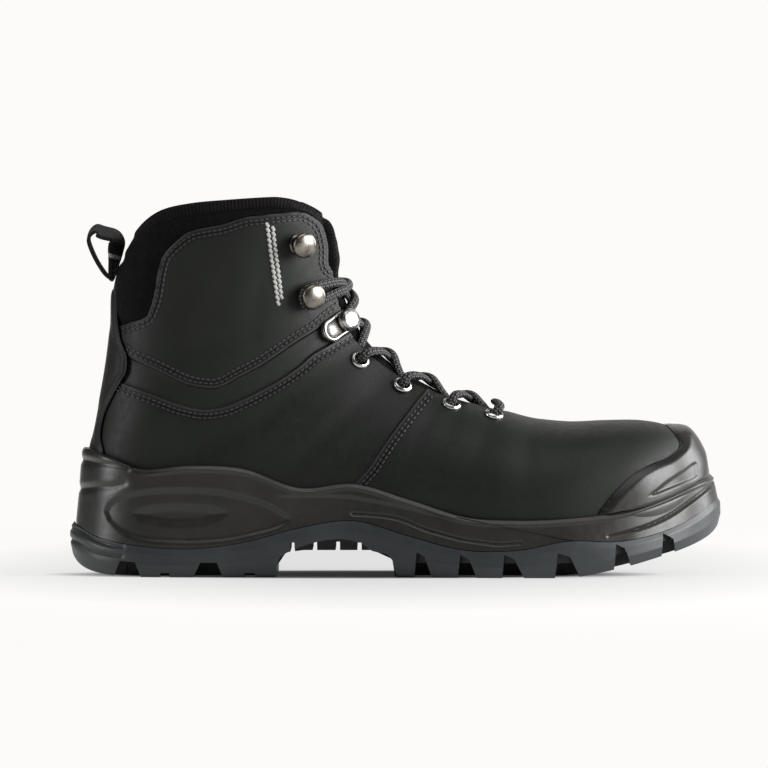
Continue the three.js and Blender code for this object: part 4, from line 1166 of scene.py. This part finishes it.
def layStitches(name, tree, runs, kind):
    shape = stitchShape(kind)
    lean = math.radians(kind["lean"])
    total, count = shape.shape[:2]
    points, faces = [], []
    for line, shift, side in runs:
        away = unit(np.stack([-np.gradient(line[:, 1]), np.gradient(line[:, 0])], 1))
        path = line + away * shift
        length = lengthAlong(path)
        for at in np.arange(kind["pitch"] / 2, length[-1] - kind["pitch"] / 2, kind["pitch"]):
            ends = []
            for step in (-0.6, 0, 0.6):
                x, z = (np.interp(at + step, length, path[:, axis]) for axis in (0, 1))
                hit = tree.ray_cast(Vector((x, side * 200, z)), Vector((0, -side, 0)))
                ends.append(hit)
            if any(hit[0] is None for hit in ends) or abs(ends[1][1][1]) < 0.25:
                continue
            if side * ends[1][0][1] < 6:
                continue
            along = unit(np.array(ends[2][0] - ends[0][0]))
            normal = np.array(ends[1][1])
            normal = unit(normal - along * (normal @ along))
            across = np.cross(normal, along)
            along, across = (along * math.cos(lean) + across * math.sin(lean),
                             across * math.cos(lean) - along * math.sin(lean))
            middle = np.array(ends[1][0]) + normal * kind["sink"]
            placedShape = middle + shape[..., :1] * along + shape[..., 1:2] * across + shape[..., 2:] * normal
            base = len(points) * total * count
            points.append(placedShape.reshape(-1, 3))
            faces += tubeFaces(base, total, count)
    return meshObject(name, np.vstack(points), faces)


# Materials
def newMaterial(name, colour, roughness, metallic=0.0, specular=0.5):
    material = bpy.data.materials.new(name)
    material.use_nodes = True
    shader = material.node_tree.nodes["Principled BSDF"]
    shader.inputs["Base Color"].default_value = (*colour, 1)
    shader.inputs["Roughness"].default_value = roughness
    shader.inputs["Metallic"].default_value = metallic
    shader.inputs["Specular IOR Level"].default_value = specular
    return material, shader


def addNode(tree, kind, settings=None, values=None):
    node = tree.nodes.new(kind)
    for name, value in (settings or {}).items():
        setattr(node, name, value)
    for name, value in (values or {}).items():
        node.inputs[name].default_value = value
    return node


def mathNode(tree, operation, *values):
    node = addNode(tree, "ShaderNodeMath", {"operation": operation})
    for index, value in enumerate(values):
        if isinstance(value, float):
            node.inputs[index].default_value = value
        else:
            tree.links.new(value, node.inputs[index])
    return node.outputs["Value"]


def sineOf(tree, value, pitch):
    return mathNode(tree, "SINE", mathNode(tree, "MULTIPLY", value, 2 * math.pi / pitch))


def readValue(tree, name):
    return addNode(tree, "ShaderNodeAttribute", {"attribute_name": name}).outputs["Fac"]


# A group that rides in several materials: soft noise at three sizes, for stain, grain and pores
def surfaceGroup():
    group = bpy.data.node_groups.new("surface", "ShaderNodeTree")
    for name in ("Grain Scale", "Stain Scale"):
        group.interface.new_socket(name, in_out="INPUT", socket_type="NodeSocketFloat")
    for name in ("Grain", "Stain", "Dust"):
        group.interface.new_socket(name, in_out="OUTPUT", socket_type="NodeSocketFloat")
    start = group.nodes.new("NodeGroupInput")
    end = group.nodes.new("NodeGroupOutput")
    place = addNode(group, "ShaderNodeTexCoord")
    grain = addNode(group, "ShaderNodeTexNoise", values={"Detail": 5.0, "Roughness": 0.62})
    cells = addNode(group, "ShaderNodeTexVoronoi", {"feature": "SMOOTH_F1"}, {"Smoothness": 0.6})
    stain = addNode(group, "ShaderNodeTexNoise", values={"Detail": 4.0, "Roughness": 0.55})
    dust = addNode(group, "ShaderNodeTexNoise", values={"Scale": 260.0, "Detail": 8.0, "Roughness": 0.7})
    blend = addNode(group, "ShaderNodeMix", {"data_type": "FLOAT"}, {"Factor": 0.45})
    for node in (grain, cells, stain, dust):
        group.links.new(place.outputs["Object"], node.inputs["Vector"])
    group.links.new(start.outputs["Grain Scale"], grain.inputs["Scale"])
    group.links.new(start.outputs["Grain Scale"], cells.inputs["Scale"])
    group.links.new(start.outputs["Stain Scale"], stain.inputs["Scale"])
    group.links.new(grain.outputs["Fac"], blend.inputs["A"])
    group.links.new(cells.outputs["Distance"], blend.inputs["B"])
    group.links.new(blend.outputs["Result"], end.inputs["Grain"])
    group.links.new(stain.outputs["Fac"], end.inputs["Stain"])
    group.links.new(dust.outputs["Fac"], end.inputs["Dust"])
    return group


# The edge of a panel: painted shade under it, a step in the surface, a painted highlight on its raised side
# and painted shade along its stitch rows
def edgeGroup():
    group = bpy.data.node_groups.new("panel_edge", "ShaderNodeTree")
    group.interface.new_socket("Distance", in_out="INPUT", socket_type="NodeSocketFloat")
    for name in ("PaintedShade", "Step", "PaintedHighlight", "PaintedRowShade"):
        group.interface.new_socket(name, in_out="OUTPUT", socket_type="NodeSocketFloat")
    start = group.nodes.new("NodeGroupInput")
    end = group.nodes.new("NodeGroupOutput")

    def band(low, high, first, last):
        node = addNode(group, "ShaderNodeMapRange", {"interpolation_type": "SMOOTHSTEP"},
                       {"From Min": low, "From Max": high, "To Min": first, "To Max": last})
        group.links.new(start.outputs["Distance"], node.inputs["Value"])
        return node.outputs["Result"]

    def between(rise, fall):
        return mathNode(group, "MULTIPLY", band(*rise, 0, 1), band(*fall, 1, 0))

    group.links.new(between((-1.5, -0.25), (-0.1, 0.15)), end.inputs["PaintedShade"])
    group.links.new(band(-0.3, 0.25, 0, 1), end.inputs["Step"])
    group.links.new(between((0.0, 0.3), (0.7, 1.2)), end.inputs["PaintedHighlight"])
    group.links.new(between((1.3, 1.7), (4.5, 4.9)), end.inputs["PaintedRowShade"])
    return group


surface = surfaceGroup()
panelEdge = edgeGroup()


def useGroup(tree, group, values=None):
    return addNode(tree, "ShaderNodeGroup", {"node_tree": group}, values)


def addBump(tree, shader, height, strength, distance, before=None):
    bump = addNode(tree, "ShaderNodeBump", values={"Strength": strength, "Distance": distance})
    tree.links.new(height, bump.inputs["Height"])
    if before is not None:
        tree.links.new(before.outputs["Normal"], bump.inputs["Normal"])
    tree.links.new(bump.outputs["Normal"], shader.inputs["Normal"])
    return bump


def mixedColour(tree, factor, first, second):
    node = addNode(tree, "ShaderNodeMix", {"data_type": "RGBA"})
    sockets = [socket for socket in node.inputs if socket.type == "RGBA"]
    if isinstance(first, tuple):
        sockets[0].default_value = (*first, 1)
    else:
        tree.links.new(first, sockets[0])
    sockets[1].default_value = (*second, 1)
    shares = [socket for socket in node.inputs if socket.name == "Factor" and socket.type == "VALUE"]
    tree.links.new(factor, shares[0])
    return [socket for socket in node.outputs if socket.type == "RGBA"][0]


def mapped(tree, value, low, high, first, last):
    node = addNode(tree, "ShaderNodeMapRange", values={"From Min": low, "From Max": high,
                                                       "To Min": first, "To Max": last})
    tree.links.new(value, node.inputs["Value"])
    return node.outputs["Result"]


# Leather colours: two tones of the leather, a near black for the painted shade under panel edges and along
# stitch rows, a lighter one for the painted highlight along panel edges, and the roughness range
leatherPaint = {"dark": (0.0024, 0.0036, 0.0024), "light": (0.0072, 0.0094, 0.0070),
                "seam": (0.0004, 0.0004, 0.0004), "rim": (0.020, 0.022, 0.019), "roughness": (0.46, 0.62)}


def leatherMaterial(name, edges):
    material, shader = newMaterial(name, leatherPaint["light"], 0.5, specular=0.28)
    tree = material.node_tree
    skin = useGroup(tree, surface, {"Grain Scale": 1300.0, "Stain Scale": 14.0})
    colour = mixedColour(tree, mapped(tree, skin.outputs["Stain"], 0.35, 0.65, 0, 1),
                         leatherPaint["dark"], leatherPaint["light"])
    bump = addBump(tree, shader, skin.outputs["Grain"], 0.45, 0.00014)
    for edge in edges:
        line = useGroup(tree, panelEdge)
        tree.links.new(readValue(tree, edge), line.inputs["Distance"])
        # Painted highlight along the raised side of each edge
        colour = mixedColour(tree, line.outputs["PaintedHighlight"], colour, leatherPaint["rim"])
        # Painted shade along the stitch rows beside each edge
        colour = mixedColour(tree, line.outputs["PaintedRowShade"], colour, leatherPaint["seam"])
        if edge != "edge_top":
            # Painted shade just below each panel's edge
            colour = mixedColour(tree, line.outputs["PaintedShade"], colour, leatherPaint["seam"])
            bump = addBump(tree, shader, line.outputs["Step"], 0.8, 0.0005, bump)
    tree.links.new(colour, shader.inputs["Base Color"])
    tree.links.new(mapped(tree, skin.outputs["Dust"], 0.3, 0.7, *leatherPaint["roughness"]),
                   shader.inputs["Roughness"])
    return material


def mouldedMaterial(name, dark, light, roughness):
    material, shader = newMaterial(name, light, roughness)
    tree = material.node_tree
    skin = useGroup(tree, surface, {"Grain Scale": 2200.0, "Stain Scale": 22.0})
    colour = mixedColour(tree, mapped(tree, skin.outputs["Stain"], 0.3, 0.7, 0, 1), dark, light)
    # Painted shade from the attribute: near black along the guard's edge and under the outsole
    colour = mixedColour(tree, readValue(tree, "paintedShadeDepth"), colour, (0.003, 0.003, 0.003))
    tree.links.new(colour, shader.inputs["Base Color"])
    addBump(tree, shader, skin.outputs["Grain"], 0.3, 0.00006)
    tree.links.new(mapped(tree, skin.outputs["Dust"], 0.3, 0.7, roughness - 0.06, roughness + 0.08),
                   shader.inputs["Roughness"])
    return material


# Woven cloth seen from the side: two fine slanted waves, with ribs where the binding runs
def clothMaterial(name, dark, light, pitch=1.1, ribs=None):
    material, shader = newMaterial(name, light, 0.85, specular=0.12)
    tree = material.node_tree
    place = addNode(tree, "ShaderNodeTexCoord")
    heights = []
    for turn in (38, -38):
        angled = addNode(tree, "ShaderNodeMapping", values={"Rotation": (0, math.radians(turn), 0)})
        wave = addNode(tree, "ShaderNodeTexWave", {"bands_direction": "X"},
                       {"Scale": 100 * math.pi / pitch, "Distortion": 0.6, "Detail Scale": 4.0})
        tree.links.new(place.outputs["Object"], angled.inputs["Vector"])
        tree.links.new(angled.outputs["Vector"], wave.inputs["Vector"])
        heights.append(wave.outputs["Fac"])
    height = mathNode(tree, "MULTIPLY", *heights)
    skin = useGroup(tree, surface, {"Grain Scale": 1800.0, "Stain Scale": 30.0})
    colour = mixedColour(tree, mapped(tree, height, 0.1, 0.8, 0, 1), dark, light)
    bump = addBump(tree, shader, height, 0.8, 0.00022)
    if ribs:
        mask = readValue(tree, ribs[1])
        wave = sineOf(tree, readValue(tree, ribs[0]), ribs[2])
        ribbed = mathNode(tree, "MULTIPLY", wave, mapped(tree, mask, -0.1, 0.1, 0, 1))
        bump = addBump(tree, shader, ribbed, 0.5, 0.00018, bump)
        colour = mixedColour(tree, mapped(tree, ribbed, 0.0, 1.0, 0, 0.8), colour, (0.009, 0.009, 0.009))
        # Painted shade on the cloth beside the raised binding
        line = useGroup(tree, panelEdge)
        tree.links.new(mask, line.inputs["Distance"])
        colour = mixedColour(tree, line.outputs["PaintedShade"], colour, (0.001, 0.001, 0.001))
    tree.links.new(colour, shader.inputs["Base Color"])
    tree.links.new(mapped(tree, skin.outputs["Dust"], 0.3, 0.7, 0.75, 0.95), shader.inputs["Roughness"])
    return material


# Braid: slanted strands from the run and the turn round the lace
def braidMaterial(name):
    material, shader = newMaterial(name, (0.02, 0.02, 0.02), 0.7)
    tree = material.node_tree
    run, around = readValue(tree, "run"), readValue(tree, "around")
    waves = []
    for lean in (1, -1):
        slant = mathNode(tree, "MULTIPLY", run, 2 * math.pi / 2.6 * lean)
        waves.append(mathNode(tree, "SINE", mathNode(tree, "MULTIPLY_ADD", around, 4.0, slant)))
    fleck = mapped(tree, mathNode(tree, "MULTIPLY", *waves), 0.45, 0.8, 0, 1)
    colour = mixedColour(tree, fleck, (0.006, 0.006, 0.006), (0.16, 0.16, 0.16))
    tree.links.new(colour, shader.inputs["Base Color"])
    addBump(tree, shader, mathNode(tree, "MAXIMUM", *waves), 0.9, 0.0003)
    return material


def metalMaterial(name, colour, roughness):
    material, shader = newMaterial(name, colour, roughness, 1.0)
    tree = material.node_tree
    skin = useGroup(tree, surface, {"Grain Scale": 900.0, "Stain Scale": 240.0})
    tint = mixedColour(tree, mapped(tree, skin.outputs["Stain"], 0.42, 0.62, 0, 1), colour,
                       tuple(part * 0.55 for part in colour))
    tree.links.new(tint, shader.inputs["Base Color"])
    tree.links.new(mapped(tree, skin.outputs["Dust"], 0.3, 0.7, roughness - 0.06, roughness + 0.14),
                   shader.inputs["Roughness"])
    return material


def loopMaterial(name):
    material, shader = newMaterial(name, (0.007, 0.007, 0.007), 0.75, specular=0.25)
    tree = material.node_tree
    run = readValue(tree, "run")
    stripe = mathNode(tree, "MULTIPLY", mapped(tree, run, 9.4, 9.8, 0, 1), mapped(tree, run, 11.4, 11.8, 1, 0))
    colour = mixedColour(tree, stripe, (0.007, 0.007, 0.007), (0.36, 0.36, 0.35))
    tree.links.new(colour, shader.inputs["Base Color"])
    addBump(tree, shader, sineOf(tree, run, 0.9), 0.7, 0.00015)
    return material


materials = {
    "leather": leatherMaterial("boot_leather", ["edge_top", "seam_upper", "seam_lower", "seam_vamp"]),
    "plainLeather": leatherMaterial("strip_leather", []),
    "moulding": mouldedMaterial("moulded_sole", (0.009, 0.0085, 0.0078), (0.018, 0.0168, 0.0152), 0.34),
    "rubber": mouldedMaterial("sole_rubber", (0.015, 0.018, 0.019), (0.026, 0.031, 0.033), 0.44),
    "cuff": clothMaterial("cuff_cloth", (0.0004, 0.0004, 0.0004), (0.0055, 0.0055, 0.0055), 1.1,
                          ("rim_run", "rim_mask", 1.7)),
    "lining": clothMaterial("lining_cloth", (0.003, 0.003, 0.003), (0.012, 0.012, 0.012)),
    "braid": braidMaterial("lace_cord"),
    "loop": loopMaterial("loop_web"),
    "nickel": metalMaterial("aged_nickel", (0.24, 0.22, 0.19), 0.24),
    "plate": metalMaterial("worn_plate", (0.46, 0.45, 0.43), 0.24),
    "chrome": metalMaterial("bright_nickel", (0.66, 0.65, 0.63), 0.2),
    "blackThread": newMaterial("black_thread", (0.020, 0.021, 0.020), 0.55)[0],
    "whiteThread": newMaterial("pale_thread", (0.42, 0.42, 0.40), 0.6)[0],
}


def lineRun(line, x, z):
    length = lengthAlong(line)
    best = np.full(x.shape, 1e9)
    run = np.zeros(x.shape)
    for index, ((startX, startZ), (endX, endZ)) in enumerate(zip(line[:-1], line[1:])):
        runX, runZ = endX - startX, endZ - startZ
        size = max(runX * runX + runZ * runZ, 1e-9)
        share = np.clip(((x - startX) * runX + (z - startZ) * runZ) / size, 0, 1)
        far = (x - startX - share * runX) ** 2 + (z - startZ - share * runZ) ** 2
        nearer = far < best
        best = np.where(nearer, far, best)
        run = np.where(nearer, length[index] + share * math.sqrt(size), run)
    return run


# Putting the pieces in
leatherTree = treeOf(upper)
points = ownPoints(upper)
for name, line, sign in (("edge_top", topLine, -1), ("seam_upper", seamUpper, 1),
                         ("seam_lower", seamLower, -1), ("seam_vamp", vampSeam, 1)):
    setValues(upper, name, np.clip(sign * lineDistance(line, points[:, 0], points[:, 2]), -9, 9))
settle(upper, ["upper"], materials["leather"])
settle(buildMidsole(), ["midsole"], materials["moulding"], 35)
settle(buildGuard(), ["toe_guard"], materials["moulding"], 35)
settle(backstayShell("backstay_strip", 0.8, 0), ["backstay"], materials["plainLeather"])
collar, tonguePad = buildCuff(), buildTongue()
for piece, node, fill in ((collar, "collar", 0.8), (tonguePad, "tongue", 0.6)):
    points = ownPoints(piece)
    setValues(piece, "rim_run", lineRun(cuffLine, points[:, 0], points[:, 2]))
    setValues(piece, "rim_mask", np.clip(lineDistance(bindingLine, points[:, 0], points[:, 2]), -9, 9))
    settle(piece, [node], materials["cuff"], 60)
settle(buildInsole(), ["insole"], materials["lining"])
settle(buildLoop(), ["pull_loop"], materials["loop"])
settle(buildOutsole(), ["outsole"], materials["rubber"], 30)
for sideName, side in (("lateral", -1), ("medial", 1)):
    for index, row in enumerate(eyeletRows):
        node = f"eyelet_{sideName}_{index + 1}"
        settle(buildEyelet(f"{node}_metal", row, side), [node], materials["chrome"])
    for index, row in enumerate(hookRows):
        node = f"hook_{sideName}_{index + 1}"
        settle(buildHook(f"{node}_metal", row, side), [node], materials["nickel"])
    settle(buildLockBase(f"lock_base_{sideName}_metal", side), [f"lock_base_{sideName}"],
           materials["plate"])
    settle(buildLockCam(f"lock_cam_{sideName}_metal", side), [f"lock_cam_{sideName}"],
           materials["chrome"])
settle(buildLace(), ["lace"], materials["braid"])
print("pieces placed")

blackRuns, whiteRuns = [], []
for side in (-1, 1):
    for line, sign in ((seamUpper, 1), (seamLower, -1), (vampSeam, 1), (topLine, -1)):
        blackRuns += [(line, sign * shift, side) for shift in (2.2, 4.0)]
    whiteRuns += [(line, 0.0, side) for line in whiteSeams]
blackStitches = layStitches("stitches_black", leatherTree, blackRuns, thread)
settle(blackStitches, (), materials["blackThread"])
paleStitches = layStitches("stitches_pale", leatherTree, whiteRuns, chain)
settle(paleStitches, (), materials["whiteThread"])
discard(belowBed, aboveLeather, aboveCuff, throatCut, throatWide, midsoleWide)
print("stitches laid")


# Stage: a strip of paper, lit near the boot and white beyond, with a painted soft shadow round the boot and a
# painted dark shadow under it
stage = {"half": 0.75, "front": -1.9, "white": (0.982, 0.965, 0.948), "glow": (0.875, 0.865, 0.855),
         "shade": (0.635, 0.64, 0.635), "under": (0.03, 0.03, 0.03)}


def buildStage():
    profile = [(stage["front"], 0.0), (-1.0, 0.0), (0.6, 0.0)]
    for angle in np.radians(np.linspace(0, 90, 25)):
        profile.append((1.1 + 0.5 * math.sin(angle), 0.5 - 0.5 * math.cos(angle)))
    profile.append((1.6, 2.5))
    points = [(side * stage["half"], y, z) for y, z in profile for side in (-1, 1)]
    faces = [(2 * i, 2 * i + 1, 2 * i + 3, 2 * i + 2) for i in range(len(profile) - 1)]
    mesh = bpy.data.meshes.new("floor")
    mesh.from_pydata(points, [], faces)
    mesh.polygons.foreach_set("use_smooth", [True] * len(faces))
    floor = bpy.data.objects.new("floor", mesh)
    bpy.context.scene.collection.objects.link(floor)
    paper, shader = newMaterial("paper", (0.1, 0.1, 0.1), 0.9, specular=0.0)
    tree = paper.node_tree
    place = addNode(tree, "ShaderNodeTexCoord")

    def ovalReach(middle, half, shift=0.0):
        scaled = addNode(tree, "ShaderNodeVectorMath", {"operation": "MULTIPLY_ADD"})
        scaled.inputs[1].default_value = (1 / half[0], 1 / half[1], 1)
        scaled.inputs[2].default_value = (-shift / half[0], -middle / half[1], 0)
        reach = addNode(tree, "ShaderNodeVectorMath", {"operation": "LENGTH"})
        tree.links.new(place.outputs["Object"], scaled.inputs[0])
        tree.links.new(scaled.outputs["Vector"], reach.inputs[0])
        return reach.outputs["Value"]

    far = mapped(tree, ovalReach(0, (1, 1)), 0.35, 0.95, 0, 1)
    tree.links.new(mixedColour(tree, far, (0.1, 0.1, 0.1), (0.0, 0.0, 0.0)), shader.inputs["Base Color"])
    glow = mixedColour(tree, far, stage["glow"], stage["white"])
    # Painted soft shadow: the glow falls to the shade colour in an oval round the boot
    soft = mapped(tree, ovalReach(0.1, (0.24, 0.57)), 0.4, 1.0, 1, 0)
    glow = mixedColour(tree, soft, glow, stage["shade"])
    # Painted dark shadow: the glow falls to near black under the boot, where it stands
    close = mapped(tree, ovalReach(0, (0.13, 0.055), -0.02), 0.85, 1.15, 1, 0)
    glow = mixedColour(tree, close, glow, stage["under"])
    tree.links.new(glow, shader.inputs["Emission Color"])
    shader.inputs["Emission Strength"].default_value = 1.0
    mesh.materials.append(paper)


def addLight(name, place, aim, size, power, colour=(1, 1, 1)):
    light = bpy.data.lights.new(name, "AREA")
    light.shape = "RECTANGLE"
    light.size, light.size_y = size
    light.energy = power
    light.color = colour
    holder = bpy.data.objects.new(name, light)
    holder.location = place
    holder.rotation_mode = "QUATERNION"
    holder.rotation_quaternion = (Vector(aim) - Vector(place)).to_track_quat("-Z", "Y")
    bpy.context.scene.collection.objects.link(holder)


def buildCamera():
    data = bpy.data.cameras.new("camera")
    data.sensor_width = 36
    data.lens = 36 * look["distance"] / look["width"]
    camera = bpy.data.objects.new("camera", data)
    tilt = math.radians(look["tilt"])
    back = Vector((0, -math.cos(tilt), math.sin(tilt)))
    camera.location = (Vector(look["aim"]) + back * look["distance"]) * 0.001
    camera.rotation_mode = "QUATERNION"
    camera.rotation_quaternion = (-back).to_track_quat("-Z", "Y")
    bpy.context.scene.collection.objects.link(camera)
    bpy.context.scene.camera = camera


buildStage()
addLight("overhead", (0.1, -0.45, 1.3), (0, 0, 0.05), (1.2, 0.9), 6)
addLight("left", (-1.2, -0.2, 0.4), (0, 0, 0.06), (0.4, 0.8), 6)
addLight("right", (1.2, -0.45, 0.45), (0.05, 0, 0.06), (0.9, 0.8), 30)
addLight("behind", (1.1, 0.5, 0.5), (0.1, 0, 0.06), (0.6, 0.8), 12)
buildCamera()
world = bpy.data.worlds.new("studio")
bpy.context.scene.world = world
world.use_nodes = True
world.node_tree.nodes["Background"].inputs["Color"].default_value = (1.0, 1.0, 1.0, 1)
world.node_tree.nodes["Background"].inputs["Strength"].default_value = 0.06
bpy.context.scene.view_settings.view_transform = "Standard"
